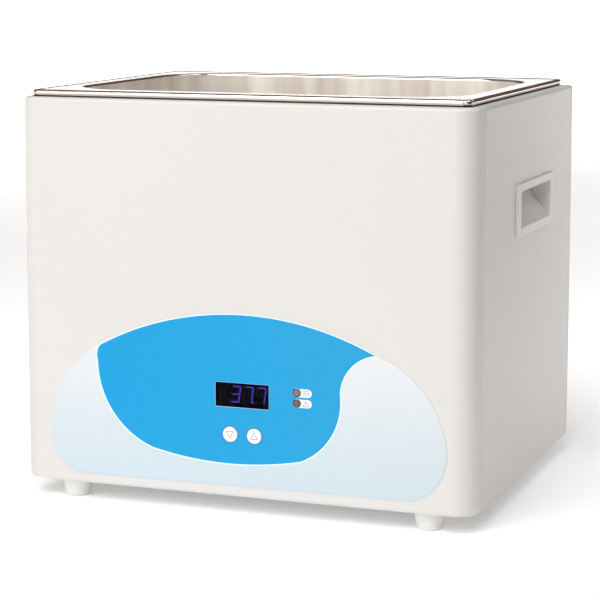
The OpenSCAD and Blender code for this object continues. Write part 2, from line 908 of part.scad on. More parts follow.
module probe_clip() {
    color(zinc) translate([-122, 0, tank_floor - tank_t]) difference() {
        union() {
            translate([-4.5, -8, -6.4]) cube([9, 16, 6.4]);
            translate([-9, -8, -1]) cube([18, 16, 1]);
        }
        translate([0, 10, -2.6]) rotate([90, 0, 0]) cylinder(r = 2.6, h = 20);
        translate([-2.6, -10, -2.6]) cube([5.2, 20, 3]);
    }
}

module insulation_jacket() {
    w = tank_w + 2 * tank_t + 1;
    d = tank_d + 2 * tank_t + 1;
    r = tank_r + tank_t + 0.5;
    color("khaki") difference() {
        translate([0, 0, jacket_floor]) linear_extrude(jacket_top - jacket_floor)
            round_rect(w + 2 * jacket_t, d + 2 * jacket_t, r + jacket_t);
        translate([0, 0, jacket_floor + 10]) linear_extrude(jacket_top) round_rect(w, d, r);
        for (s = [-1, 1]) translate([s * body_w / 2, grip_y, case_z + grip_z])
            cube([60, grip_hole_l + 14, grip_hole_h + 14], center = true);
        for (x = [-122, 122]) translate([x, 0, jacket_floor - 1]) cylinder(r = 5, h = 12);
    }
}

// ---------------------------------------------------------------- rear parts

module socket_shape() {
    w = socket_w / 2;
    h = socket_h / 2;
    cut = 4.5;
    polygon([[-w, -h], [w, -h], [w, h - cut], [w - cut, h], [cut - w, h], [-w, h - cut]]);
}

module mains_inlet() {
    color(black_plastic) difference() {
        union() {
            along_y(outer_y, flange_t) translate([inlet_x, inlet_z]) round_rect(64, 42, 3);
            along_y(outer_y - inlet_depth, inlet_depth) translate([inlet_x, inlet_z])
                square([inlet_body_w, inlet_body_h], center = true);
        }
        along_y(outer_y + flange_t - socket_depth, socket_depth + 1)
            translate([inlet_x, socket_z]) socket_shape();
        along_y(outer_y + flange_t - 24, 25) translate([inlet_x, drawer_z])
            square([drawer_w + 0.6, drawer_h + 0.6], center = true);
        for (s = [-1, 1]) translate([inlet_x + s * 28, outer_y - 1, socket_z])
            rotate([-90, 0, 0]) cylinder(r = 1.7, h = 6);
    }
}

module inlet_pins() {
    root = outer_y + flange_t - socket_depth;
    color(steel) for (i = [-1, 0, 1]) translate([inlet_x + i * 7, 0, socket_z + (i == 0 ? 3 : -1)]) {
        translate([-1, root, -2]) cube([2, 12, 4]);
        translate([-0.4, outer_y - inlet_depth - 8, -3.15]) cube([0.8, 8, 6.3]);
    }
}

module inlet_screws() {
    color(zinc) for (s = [-1, 1]) translate([inlet_x + s * 28, outer_y + flange_t, socket_z])
        rotate([-90, 0, 0]) screw(1.5, 9);
}

module fuse_drawer() {
    w = drawer_w;
    h = drawer_h;
    color([0.16, 0.16, 0.17]) translate([inlet_x, 0, drawer_z]) difference() {
        union() {
            translate([-w / 2, outer_y + flange_t - 23, -h / 2]) cube([w, 23, h]);
            translate([-w / 2, outer_y + flange_t - eps, -h / 2]) cube([w, 1.2, h]);
        }
        for (s = [-1, 1]) translate([s * 6.5 - 2.8, outer_y + flange_t - 22, -h / 2 + 1])
            cube([5.6, 20.5, h]);
        translate([-5, outer_y + flange_t + 0.5, -h / 2 - 1]) cube([10, 1, 2]);
    }
}

module fuses() {
    color([0.85, 0.85, 0.8]) for (s = [-1, 1])
        translate([inlet_x + s * 6.5, outer_y + flange_t - 21.8, drawer_z - drawer_h / 2 + 3.6])
            rotate([-90, 0, 0]) cylinder(r = 2.5, h = 20);
}

module switch_housing() {
    cavity_w = rocker_w + 0.6;
    color(black_plastic) difference() {
        union() {
            along_y(outer_y, 2) translate([switch_x, inlet_z]) round_rect(switch_w, switch_l, 1.5);
            along_y(outer_y - 18, 18) translate([switch_x, inlet_z])
                square([switch_w - 2.6, switch_l - 2.6], center = true);
            for (s = [-1, 1]) translate([switch_x - 0.4, outer_y - 26, inlet_z + s * 7 - 3])
                cube([0.8, 9, 6]);
        }
        translate([switch_x - cavity_w / 2, rocker_y, inlet_z]) rotate([0, 90, 0])
            cylinder(r = rocker_r + 0.3, h = cavity_w);
        translate([switch_x - rocker_w / 2 - 1.2, rocker_y, inlet_z]) rotate([0, 90, 0])
            cylinder(r = 1.55, h = rocker_w + 2.4);
    }
}

// Valley-shaped rocker, drawn with its upper half pressed in
module power_rocker() {
    half = rocker_swing / 2;
    reach = rocker_r - 0.8;
    rise = 1 + reach * tan(half);
    color([0.14, 0.14, 0.15]) translate([switch_x, rocker_y, inlet_z]) rotate([half, 0, 0]) {
        along_x(-rocker_w / 2, rocker_w) intersection() {
            polygon([
                [rise, reach], [1, 0], [rise, -reach], [-5, -reach], [-8, -5], [-8, 5], [-5, reach]
            ]);
            circle(rocker_r);
        }
        translate([-rocker_w / 2 - 1, 0, 0]) rotate([0, 90, 0]) cylinder(r = 1.5, h = rocker_w + 2);
    }
}

// ---------------------------------------------------------------- leads

module mains_lead() {
    color("dimgray") lead([
        [inlet_x, 107.8, 72], [inlet_x, 98, 71.5], [-100, 70, 44], [-70, 30, 26], [-20, -12, 22],
        [10, -30, 30], [24, -20, 47], [27, -8, 49], [27, -8, 42], [27, -8, 34]
    ], 2.2);
}

module heater_lead() {
    color("white") lead([
        [37, -8, 34], [37, -8, 42], [40, -16, 50], [60, -30, 60], [100, -26, 80],
        [118, -10, 100], [122, 0, 116], [122, 0, 126], [122, 0, 136.7]
    ], 1.8);
}

module probe_lead() {
    color("dimgray") lead([
        [-122, -20.6, 148.2], [-122, -26, 147.8], [-122, -29, 143], [-122, -24, 140],
        [-122, -10, 140], [-122, -2, 136], [-122, 0, 128], [-122, -4, 112], [-110, -40, 92],
        [-80, -90, 76], [-40, -112, 68], [-14, -118, 66], [-4, -124, 66], [-4, -130.8, 66]
    ], 1.2, 5);
}

module ribbon_cable() {
    y0 = board_y + board_t + header_t;
    y1 = power_y - power_d / 2 + 3;
    z0 = board_z - 3;
    z1 = power_z + board_t + 4;
    color("gray") along_x(header_x + 1, header_w - 2) polygon([
        [y0, z0], [y0 + 6, z0], [y0 + 8, z0 - 2], [y0 + 8, z1 + 2], [y0 + 10, z1],
        [y1, z1], [y1, z1 - 1], [y0 + 9.6, z1 - 1], [y0 + 7, z1 + 1.6], [y0 + 7, z0 - 2.4],
        [y0 + 5.6, z0 - 1], [y0, z0 - 1]
    ]);
}

outer_case();
back_panel();
base_plate();
tank();
rim_gasket();
tank_nuts();
base_shelf();
shelf_legs();
grip_right();
grip_left();
foot_front_left();
foot_front_right();
foot_rear_left();
foot_rear_right();
foot_screws();
foot_nuts();
back_panel_screws();
base_plate_screws();
front_label();
display_window();
display_module();
digit_segments();
heater_lamp();
alarm_lamp();
down_key();
up_key();
key_switches();
control_board();
board_standoffs();
board_screws();
power_board();
transformer();
heater_relay();
terminal_block();
heater_mat();
heater_plate();
heater_nuts();
thermal_cutout();
temperature_probe();
probe_clip();
insulation_jacket();
mains_inlet();
inlet_pins();
inlet_screws();
fuse_drawer();
fuses();
switch_housing();
power_rocker();
earth_stud();
mains_lead();
heater_lead();
probe_lead();
ribbon_cable();
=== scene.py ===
import math

import bmesh
import bpy
from mathutils import Matrix, Vector
from mathutils.geometry import tessellate_polygon


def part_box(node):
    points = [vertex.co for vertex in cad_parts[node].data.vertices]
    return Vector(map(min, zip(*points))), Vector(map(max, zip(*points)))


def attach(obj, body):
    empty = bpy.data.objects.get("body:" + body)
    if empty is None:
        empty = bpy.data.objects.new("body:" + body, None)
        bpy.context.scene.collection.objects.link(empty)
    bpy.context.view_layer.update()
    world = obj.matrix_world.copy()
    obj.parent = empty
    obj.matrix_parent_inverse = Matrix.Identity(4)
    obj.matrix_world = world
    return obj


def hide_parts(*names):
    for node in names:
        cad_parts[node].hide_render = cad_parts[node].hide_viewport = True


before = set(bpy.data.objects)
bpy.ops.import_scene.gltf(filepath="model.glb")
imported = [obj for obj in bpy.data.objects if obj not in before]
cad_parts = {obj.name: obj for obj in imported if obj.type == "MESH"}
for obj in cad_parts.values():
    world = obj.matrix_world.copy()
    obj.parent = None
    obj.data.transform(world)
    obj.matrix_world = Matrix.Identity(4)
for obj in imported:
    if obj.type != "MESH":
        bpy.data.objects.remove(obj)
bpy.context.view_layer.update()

# Looks of a bench-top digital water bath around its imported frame. The pieces are
# drawn in millimetres and written to their meshes in metres. X runs to the right,
# Y to the back and Z up, and the front panel faces -Y.
MM = 0.001

# Casing
SHEET = 1.2
CORNER_R = 19
REAR_CORNER_R = 3.5
FOLD_R = 3
SERVICE_W, SERVICE_D = 240, 210
REAR_FRAME = 16
SEAM = 0.25

# Tank
TANK_W, TANK_D, TANK_R = 310, 228, 45
TANK_SHEET = 1
TANK_GAP = 3
FLOOR_R = 15
LIP_R = 2
HEM_R = 2.4
HEM_LEG = 4.5
RIM_CORNER_R = 6
CORNER_STEP = 1
FLANGE_DROP = 0.4
TANK_FLOOR_BELOW_RIM = 160
STUD_R = 2

# Grips
GRIP_HOLE_L, GRIP_HOLE_H = 92, 28
GRIP_PROUD = 2
GRIP_WALL = 1.5

# Front panel
PRINT_T = 0.03
LABEL_EDGE = 0.15
OUTLINE_W = 1.1
PILL_W, PILL_H = 14.9, 6.1
DIGIT_PITCH = 10
DIGIT_SHIFT = -1.2
DIGIT_W, DIGIT_H, DIGIT_BAR = 6.9, 12.6, 0.85
DIGIT_LEAN = math.tan(math.radians(8))

KEY_GAP, LAMP_GAP = 0.3, 0.1
KEY_FLANGE = 1.4

# Rear panel
INLET_SCREW_X = 28
SOCKET_RISE = 4
SOCKET_DEPTH = 18

# Camera, fitted to the casing's corners
LENS, SENSOR_W, SHIFT_Y = 125.5, 36, -0.0646
VIEW_AZIMUTH, VIEW_ELEVATION, VIEW_DISTANCE = 20.30, 8.36, 1.6632
VIEW_TARGET = (-0.0059, 0, 0.1706)

STEEL_TONE = (0.76, 0.68, 0.63)
PAINT_TONE = (0.645, 0.63, 0.61)


def box(node):
    """Lowest and highest corner of a CAD node, in millimetres."""
    low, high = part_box(node)
    return low / MM, high / MM


def middle(node):
    low, high = box(node)
    return (low + high) / 2


def half_size(node):
    low, high = box(node)
    return (high.x - low.x) / 2, (high.z - low.z) / 2


CASE_LOW, CASE_HIGH = box("outer_case")
PANEL_X = middle("display_window").x
PANEL_Z = CASE_LOW.z
RIM_LOW, RIM_HIGH = box("tank")


# ---------------- outlines

def arc(centre, radius, start, end, steps):
    """Points on an arc, from start to end in degrees."""
    turn = [math.radians(start + (end - start) * i / steps) for i in range(steps + 1)]
    return [(centre[0] + radius * math.cos(a), centre[1] + radius * math.sin(a)) for a in turn]


def quarter(steps):
    """Angles from 0 to a right angle, in radians."""
    return [math.pi / 2 * i / steps for i in range(steps + 1)]


def circle(centre, radius, steps=48):
    return arc(centre, radius, 0, 360, steps)[:-1]


def rounded_rect(centre, size, radius, steps=8):
    (cx, cy), (w, h) = centre, size
    x, y = w / 2 - radius, h / 2 - radius
    corners = [(x, y), (-x, y), (-x, -y), (x, -y)]
    return [
        p
        for i, (dx, dy) in enumerate(corners)
        for p in arc((cx + dx, cy + dy), radius, 90 * i, 90 * i + 90, steps)
    ]


def through(a, b, c, steps=16):
    """Points from a to just before c on the circle through a, b and c."""
    (ax, ay), (bx, by), (cx, cy) = a, b, c
    d = 2 * (ax * (by - cy) + bx * (cy - ay) + cx * (ay - by))
    qa, qb, qc = ax * ax + ay * ay, bx * bx + by * by, cx * cx + cy * cy
    mx = (qa * (by - cy) + qb * (cy - ay) + qc * (ay - by)) / d
    my = (qa * (cx - bx) + qb * (ax - cx) + qc * (bx - ax)) / d
    angles = [math.degrees(math.atan2(y - my, x - mx)) for x, y in (a, b, c)]
    via, full = (angles[1] - angles[0]) % 360, (angles[2] - angles[0]) % 360
    sweep = full if via < full else full - 360
    return arc((mx, my), math.hypot(ax - mx, ay - my), angles[0], angles[0] + sweep, steps)[:-1]


def signed_area(loop):
    pairs = zip(loop, loop[1:] + loop[:1])
    return sum(a[0] * b[1] - b[0] * a[1] for a, b in pairs) / 2


def offset(loop, distance):
    """The loop with each point moved outward by distance, along the mitre."""
    side = 1 if signed_area(loop) > 0 else -1
    moved = []
    for before, here, after in zip(loop[-1:] + loop[:-1], loop, loop[1:] + loop[:1]):
        one = (Vector(here) - Vector(before)).normalized()
        two = (Vector(after) - Vector(here)).normalized()
        tangent = (one + two).normalized()
        reach = distance / max(tangent.dot(one), 0.35)
        moved.append((here[0] + side * tangent.y * reach, here[1] - side * tangent.x * reach))
    return moved


# ---------------- meshes

def join_rings(bm, first, second):
    count = len(first)
    for i in range(count):
        j = (i + 1) % count
        bm.faces.new((first[i], first[j], second[j], second[i]))


def loft(rings, closed=False):
    """Solid skin through rings of equally many points, capped unless closed on itself."""
    bm = bmesh.new()
    made = [[bm.verts.new(p) for p in ring] for ring in rings]
    for first, second in zip(made, made[1:]):
        join_rings(bm, first, second)
    if closed:
        join_rings(bm, made[-1], made[0])
    else:
        bm.faces.new(list(reversed(made[0])))
        bm.faces.new(made[-1])
    return bm


def lathe(profile, steps=48):
    """Solid of (radius, height) points turned round Z. The ends are on the axis."""
    bm = bmesh.new()
    inner = profile[1:-1]
    low = bm.verts.new((0, 0, profile[0][1]))
    high = bm.verts.new((0, 0, profile[-1][1]))
    rings = [[bm.verts.new((x, y, z)) for x, y in circle((0, 0), r, steps)] for r, z in inner]
    for first, second in zip(rings, rings[1:]):
        join_rings(bm, first, second)
    for i in range(steps):
        j = (i + 1) % steps
        bm.faces.new((rings[0][j], rings[0][i], low))
        bm.faces.new((rings[-1][i], rings[-1][j], high))
    return bm


def plate(outer, holes, low, high, edge=0.0, upright=True):
    """Plate of an outline with holes, from low to high across its plane, with rounded edges.
    An upright plate lies in X and Z, and any other in X and Y."""
    turned = (lambda u, v, w: (u, w, v)) if upright else (lambda u, v, w: (u, v, w))
    levels = [(low, 0.0), (high, 0.0)]
    if edge:
        levels = [(low, edge), (low + 0.3 * edge, 0.3 * edge), (low + edge, 0.0),
                  (high - edge, 0.0), (high - 0.3 * edge, 0.3 * edge), (high, edge)]
    bm = bmesh.new()
    faces = {0: [], -1: []}
    flat = {0: [], -1: []}
    for index, loop in enumerate([outer] + list(holes)):
        grow = -1 if index == 0 else 1
        outlines = [offset(loop, grow * inset) if inset else loop for _, inset in levels]
        rings = [
            [bm.verts.new(turned(u, v, level)) for u, v in outline]
            for outline, (level, _) in zip(outlines, levels)
        ]
        for first, second in zip(rings, rings[1:]):
            join_rings(bm, first, second)
        for end in (0, -1):
            faces[end] += rings[end]
            flat[end].append([Vector((u, v, 0)) for u, v in outlines[end]])
    for end in (0, -1):
        for corner in tessellate_polygon(flat[end]):
            bm.faces.new([faces[end][i] for i in corner])
    return bm


def block(low, high):
    """Rectangular solid between two corners."""
    (x0, y0, z0), (x1, y1, z1) = low, high
    ring = [(x0, y0), (x1, y0), (x1, y1), (x0, y1)]
    return loft([[(x, y, z) for x, y in ring] for z in (z0, z1)])


def slab(x, z, half_x, half_z, near, far):
    """Rectangular solid round a place on a panel, from near to far along Y."""
    return block((x - half_x, near, z - half_z), (x + half_x, far, z + half_z))


def merged(*parts):
    """One bmesh of several, each a bmesh."""
    whole = bmesh.new()
    for part in parts:
        scratch = bpy.data.meshes.new("scratch")
        part.to_mesh(scratch)
        part.free()
        whole.from_mesh(scratch)
        bpy.data.meshes.remove(scratch)
    return whole


def copies(part, matrices):
    """One bmesh of the part placed by each matrix."""
    moved = [placed(part.copy(), matrix) for matrix in matrices]
    part.free()
    return merged(*moved)


def facing(axis, place=(0, 0, 0)):
    """Matrix that turns +Z to the axis and moves to the place."""
    return Matrix.Translation(place) @ Vector(axis).to_track_quat("Z", "Y").to_matrix().to_4x4()


def placed(part, matrix):
    bmesh.ops.transform(part, matrix=matrix, verts=part.verts)
    return part


def as_object(part, name):
    bmesh.ops.recalc_face_normals(part, faces=part.faces)
    mesh = bpy.data.meshes.new(name)
    part.to_mesh(mesh)
    part.free()
    made = bpy.data.objects.new(name, mesh)
    bpy.context.scene.collection.objects.link(made)
    return made


def taken(piece):
    """The bmesh of an object, which is removed."""
    shape = bmesh.new()
    shape.from_mesh(piece.data)
    bpy.data.objects.remove(piece)
    return shape


def bake_modifiers(piece):
    evaluated = piece.evaluated_get(bpy.context.evaluated_depsgraph_get())
    mesh = bpy.data.meshes.new_from_object(evaluated)
    piece.modifiers.clear()
    piece.data = mesh


def cut(piece, cutter, operation="DIFFERENCE"):
    """Takes the cutter's volume from the piece."""
    tool = as_object(cutter, "cutter")
    modifier = piece.modifiers.new("cut", "BOOLEAN")
    modifier.object = tool
    modifier.operation = operation
    modifier.solver = "EXACT"
    bake_modifiers(piece)
    bpy.data.objects.remove(tool)
    return piece


def round_edges(piece, width, segments=2, angle=40):
    modifier = piece.modifiers.new("round", "BEVEL")
    modifier.width = width
    modifier.segments = segments
    modifier.limit_method = "ANGLE"
    modifier.angle_limit = math.radians(angle)
    modifier.use_clamp_overlap = True
    bake_modifiers(piece)
    return piece


def publish(piece, body, material, replaces=(), sharp=35):
    """Writes the piece in metres, smooths it, dresses it and lets it ride on its body."""
    mesh = piece.data
    mesh.transform(Matrix.Scale(MM, 4))
    mesh.shade_smooth()
    mesh.set_sharp_from_angle(angle=math.radians(sharp))
    materials = material if isinstance(material, (list, tuple)) else [material]
    mesh.materials.clear()
    for one in materials:
        mesh.materials.append(one)
    weighted = piece.modifiers.new("flat_faces", "WEIGHTED_NORMAL")
    weighted.keep_sharp = True
    weighted.weight = 90
    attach(piece, body)
    if replaces:
        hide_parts(*replaces)
    return piece


# ---------------- materials

class Surface:
    """A material's node tree, with a short way to add and join its nodes."""

    def __init__(self, name):
        self.material = bpy.data.materials.new(name)
        self.material.use_nodes = True
        self.tree = self.material.node_tree
        self.shader = self.tree.nodes["Principled BSDF"]
        self.place = self.add("TexCoord").outputs["Object"]

    def add(self, kind, sockets=(), **settings):
        node = self.tree.nodes.new("ShaderNode" + kind)
        for key, value in settings.items():
            setattr(node, key, value)
        for key, value in dict(sockets).items():
            self.feed(node.inputs[key], value)
        return node

    def feed(self, socket, value):
        if isinstance(value, bpy.types.NodeSocket):
            self.tree.links.new(value, socket)
        else:
            socket.default_value = value

    def set(self, **values):
        for key, value in values.items():
            self.feed(self.shader.inputs[key.replace("_", " ")], value)

    def stretched(self, scale):
        return self.add("Mapping", {"Vector": self.place, "Scale": scale}).outputs["Vector"]

    def noise(self, scale, detail=3.0, stretch=None, roughness=0.55):
        place = self.stretched(stretch) if stretch else self.place
        sockets = {"Vector": place, "Scale": scale, "Detail": detail, "Roughness": roughness}
        return self.add("TexNoise", sockets).outputs["Fac"]

    def ranged(self, value, low, high, start=0.3, end=0.7):
        sockets = {"Value": value, "From Min": start, "From Max": end, "To Min": low, "To Max": high}
        return self.add("MapRange", sockets).outputs["Result"]

    def ramp(self, value, *stops):
        node = self.add("ValToRGB", {"Fac": value})
        elements = node.color_ramp.elements
        while len(elements) < len(stops):
            elements.new(0.5)
        for element, (at, colour) in zip(elements, stops):
            element.position = at
            element.color = (*colour, 1)
        return node.outputs["Color"]

    def blend(self, factor, first, second, mode="MIX"):
        node = self.add("MixRGB", {"Fac": factor, "Color1": first, "Color2": second}, blend_type=mode)
        return node.outputs["Color"]

    def bump(self, height, depth, strength=1.0, normal=None):
        sockets = {"Height": height, "Distance": depth * MM, "Strength": strength}
        if normal:
            sockets["Normal"] = normal
        return self.add("Bump", sockets).outputs["Normal"]

    def axis(self, letter):
        return self.add("SeparateXYZ", {"Vector": self.place}).outputs[letter]


def tone(colour, factor):
    return tuple(min(c * factor, 1.0) for c in colour)


def plain(name, colour, rough, spread=0.04, patch=30, grain=900, depth=0.01, metal=0.0,
          stretch=None, **more):
    """A surface with soft patches of colour and gloss, and a fine grain."""
    s = Surface(name)
    patches = s.noise(patch, 2)
    s.set(
        Base_Color=s.ramp(patches, (0.3, tone(colour, 1 - spread)), (0.7, tone(colour, 1 + spread))),
        Roughness=s.ranged(s.noise(patch * 3, 3), rough - 0.05, rough + 0.05),
        Metallic=metal,
        Normal=s.bump(s.noise(grain, 3, stretch), depth),
        **more,
    )
    return s.material


def paint():
    """Warm light grey powder coat with a faint orange peel."""
    s = Surface("casing_paint")
    speckle = s.noise(2600, 2)
    patches = s.noise(7, 2)
    base = s.ramp(patches, (0.3, tone(PAINT_TONE, 0.99)), (0.7, tone(PAINT_TONE, 1.01)))
    dots = s.ramp(speckle, (0.35, (0.965,) * 3), (0.6, (1.0,) * 3))
    peel = s.bump(s.noise(420, 2), 0.035, 0.6)
    s.set(
        Base_Color=s.blend(1.0, base, dots, "MULTIPLY"),
        Roughness=s.ranged(s.noise(90, 3), 0.34, 0.44),
        Normal=s.bump(s.noise(1500, 3), 0.012, 0.7, peel),
    )
    return s.material


def brushed(name, colour, rough, depth=0.006, metal=1.0, streak=0.06):
    """Stainless sheet with grinding lines along the walls and soft upright streaks."""
    s = Surface(name)
    along_x = s.noise(1.0, 4, (12, 2600, 2600))
    along_y = s.noise(1.0, 4, (2600, 12, 2600))
    facing_x = s.add("SeparateXYZ", {"Vector": s.add("NewGeometry").outputs["Normal"]}).outputs["X"]
    sideways = s.add("Math", {0: facing_x}, operation="ABSOLUTE").outputs[0]
    lines = s.blend(s.ranged(sideways, 0, 1, 0.4, 0.8), along_x, along_y)
    streaks = s.noise(1.0, 3, (38, 38, 5))
    s.set(
        Base_Color=s.ramp(streaks, (0.32, tone(colour, 1 - streak)), (0.62, tone(colour, 1 + streak))),
        Roughness=s.ranged(lines, rough - 0.05, rough + 0.06),
        Metallic=metal,
        Normal=s.bump(lines, depth),
    )
    return s.material


def zinc():
    s = Surface("zinc_plate")
    cells = s.add("TexVoronoi", {"Vector": s.place, "Scale": 160.0}).outputs["Color"]
    value = s.add("RGBToBW", {"Color": cells}).outputs["Val"]
    s.set(
        Base_Color=s.ramp(value, (0.2, (0.55, 0.56, 0.58)), (0.8, (0.66, 0.67, 0.69))),
        Roughness=s.ranged(s.noise(300, 3), 0.28, 0.42),
        Metallic=1.0,
        Normal=s.bump(s.noise(700, 3), 0.008),
    )
    return s.material


def film(name, colour):
    """Printed polyester film with a velvet face."""
    s = Surface(name)
    s.set(
        Base_Color=colour(s),
        Roughness=s.ranged(s.noise(200, 2), 0.36, 0.46),
        Specular_IOR_Level=0.25,
        Normal=s.bump(s.noise(3200, 2), 0.004, 0.6),
    )
    return s.material


def pale_field(s):
    """Near white at the top of the label, pale blue at the bottom."""
    low, high = box("front_label")
    height = s.ranged(s.axis("Z"), 0, 1, low.z * MM, high.z * MM)
    shade = s.ramp(height, (0.0, (0.52, 0.61, 0.67)), (0.35, (0.58, 0.645, 0.68)),
                   (0.85, (0.70, 0.71, 0.725)))
    ink = s.ramp(s.noise(900, 2), (0.3, (0.985,) * 3), (0.7, (1.0,) * 3))
    return s.blend(1.0, shade, ink, "MULTIPLY")


def blue_field(s):
    """Cyan blue at the left, a little lighter at the right."""
    across = s.ranged(s.axis("X"), 0, 1, -0.11, 0.10)
    shade = s.ramp(across, (0.0, (0.0, 0.305, 0.62)), (1.0, (0.014, 0.315, 0.61)))
    ink = s.ramp(s.noise(900, 2), (0.3, (0.97,) * 3), (0.7, (1.0,) * 3))
    return s.blend(1.0, shade, ink, "MULTIPLY")


def flat_ink(colour):
    return lambda s: s.ramp(s.noise(700, 2), (0.3, tone(colour, 0.97)), (0.7, tone(colour, 1.0)))


def smoked_window():
    s = plain("smoked_window", (0.24, 0.23, 0.33), 0.06, spread=0.02, grain=300, depth=0.001)
    shader = s.node_tree.nodes["Principled BSDF"]
    shader.inputs["Transmission Weight"].default_value = 1.0
    shader.inputs["IOR"].default_value = 1.12
    return s


def glowing(name, colour, strength):
    s = Surface(name)
    shade = s.ramp(s.noise(800, 2), (0.3, tone(colour, 0.85)), (0.7, colour))
    s.set(Base_Color=tone(colour, 0.4) + (1,), Roughness=0.4, Emission_Color=shade,
          Emission_Strength=strength)
    return s.material


def lens(name, colour):
    """Tinted indicator lens with a faceted inner face that shows as a fine net."""
    s = Surface(name)
    cells = s.add("TexVoronoi", {"Vector": s.place, "Scale": 1500.0}).outputs["Distance"]
    s.set(
        Base_Color=s.ramp(cells, (0.1, tone(colour, 1.25)), (0.6, tone(colour, 0.75))),
        Roughness=s.ranged(s.noise(400, 2), 0.10, 0.2),
        Coat_Weight=0.6,
        Normal=s.bump(cells, 0.01, 0.5),
    )
    return s.material


def circuit_board():
    s = Surface("circuit_board")
    tracks = s.add("TexBrick", {"Vector": s.place, "Scale": 90.0, "Mortar Size": 0.05,
                                "Color1": (0.02, 0.16, 0.06, 1), "Color2": (0.03, 0.19, 0.08, 1),
                                "Mortar": (0.05, 0.30, 0.13, 1)}).outputs
    s.set(Base_Color=tracks["Color"], Roughness=s.ranged(s.noise(300, 2), 0.2, 0.35),
          Normal=s.bump(tracks["Fac"], 0.03))
    return s.material


PAINT = paint()
STEEL = brushed("rim_steel", STEEL_TONE, 0.13, 0.003)
SATIN_STEEL = brushed("tank_steel", tone(STEEL_TONE, 1.18), 0.42, metal=0.55, streak=0.2)
SHELF_STEEL = brushed("shelf_steel", STEEL_TONE, 0.3)
ZINC = zinc()
PALE = film("label_pale", pale_field)
BLUE = film("label_blue", blue_field)
OUTLINE_INK = film("outline_ink", flat_ink((0.72, 0.90, 0.97)))
WHITE_INK = film("white_ink", flat_ink((0.82, 0.88, 0.90)))
GREY_INK = film("grey_ink", flat_ink((0.26, 0.25, 0.25)))
WINDOW_INK = film("window_ink", flat_ink((0.16, 0.48, 0.72)))
# Painted shade: dark blue for the thin rings round the key openings, where the shade of the gap round each
# key falls.
KEY_GAP_SHADE = film("dark_blue_ink", flat_ink((0.02, 0.16, 0.38)))
KEY_WHITE = plain("key_white", (0.84, 0.87, 0.88), 0.35, spread=0.01)
GRIP = plain("grip_plastic", (0.72, 0.705, 0.68), 0.45, spread=0.015, grain=1600, depth=0.02)
FOOT = plain("foot_plastic", (0.72, 0.71, 0.69), 0.35, spread=0.02, grain=900, depth=0.01)
BLACK = plain("black_plastic", (0.022, 0.022, 0.024), 0.42, spread=0.15, grain=1500, depth=0.02)
ROCKER = plain("rocker_plastic", (0.02, 0.02, 0.021), 0.2, spread=0.15, grain=600, depth=0.004)
# Near black rubber of the rim gasket, which also stands in for the shade in the gap under the rolled rim:
# partly the seal's own colour, partly painted shade.
GASKET_RUBBER_AND_GAP_SHADE = plain("gasket_rubber", (0.035, 0.035, 0.035), 0.75, spread=0.2, grain=1100, depth=0.03)
WINDOW = smoked_window()
MODULE_FACE = plain("display_body", (0.012, 0.009, 0.010), 0.5, spread=0.3)
DARK_SEGMENT = plain("unlit_segment", (0.035, 0.022, 0.024), 0.4, spread=0.2)
LIT_SEGMENT = glowing("lit_segment", (0.13, 0.14, 1.0), 1.7)
OLIVE_LENS = lens("heater_lamp_lens", (0.16, 0.16, 0.12))
RED_LENS = lens("alarm_lamp_lens", (0.12, 0.07, 0.085))
LENS_RING = plain("lens_ring", (0.02, 0.022, 0.026), 0.3, spread=0.15)
BOARD = circuit_board()
CORE = plain("transformer_core", (0.12, 0.10, 0.09), 0.5, metal=0.6, stretch=(1, 1, 30))
TERMINAL = plain("terminal_green", (0.05, 0.30, 0.12), 0.4)
MAT = plain("silicone_mat", (0.42, 0.10, 0.05), 0.7, grain=500, depth=0.06)
CERAMIC = plain("ceramic_body", (0.72, 0.69, 0.60), 0.6)
FELT = plain("insulation", (0.68, 0.62, 0.40), 0.95, spread=0.12, grain=350, depth=0.4,
             Sheen_Weight=0.4)
CONTACT = plain("contact_metal", (0.72, 0.70, 0.64), 0.25, metal=1.0)
BRASS = plain("earth_brass", (0.72, 0.52, 0.24), 0.3, metal=1.0)
FUSE = plain("fuse_glass", (0.70, 0.70, 0.68), 0.12)
DARK_LEAD = plain("dark_lead", (0.05, 0.05, 0.055), 0.45)
WHITE_LEAD = plain("white_lead", (0.78, 0.78, 0.75), 0.45)
RIBBON = plain("ribbon_grey", (0.36, 0.36, 0.38), 0.5, stretch=(6, 1, 1))


# ---------------- casing

def casing_ring(z, inset):
    """Plan outline of the casing at a level, inset from its outer faces."""
    corners = [
        (CASE_HIGH.x, CASE_HIGH.y, REAR_CORNER_R, 0), (CASE_LOW.x, CASE_HIGH.y, REAR_CORNER_R, 90),
        (CASE_LOW.x, CASE_LOW.y, CORNER_R, 180), (CASE_HIGH.x, CASE_LOW.y, CORNER_R, 270),
    ]
    ring = []
    for x, y, r, start in corners:
        centre = (x - math.copysign(r, x), y - math.copysign(r, y))
        ring += arc(centre, r - inset, start, start + 90, 14)
    return [(x, y, z) for x, y in ring]


def folded_block(wall):
    """The casing's outline as a solid, wall inside its outer faces."""
    r = FOLD_R - wall
    angles = quarter(6)
    low, high = CASE_LOW.z + wall, CASE_HIGH.z - wall
    bottom = [casing_ring(low + r * (1 - math.sin(a)), wall + r * (1 - math.cos(a)))
              for a in reversed(angles)]
    top = [casing_ring(high - r * (1 - math.sin(a)), wall + r * (1 - math.cos(a))) for a in angles]
    return loft(bottom + top)


def node_circle(node, radius):
    at = middle(node)
    return circle((at.x, at.z), radius)


def key_radius():
    return half_size("down_key")[0] - KEY_FLANGE


def lamp_radius():
    return half_size("heater_lamp")[0]


def window_outline(grow, radius=0.3):
    at = middle("display_window")
    w, h = half_size("display_window")
    return rounded_rect((at.x, at.z), (2 * w + 2 * grow, 2 * h + 2 * grow), radius, 3)


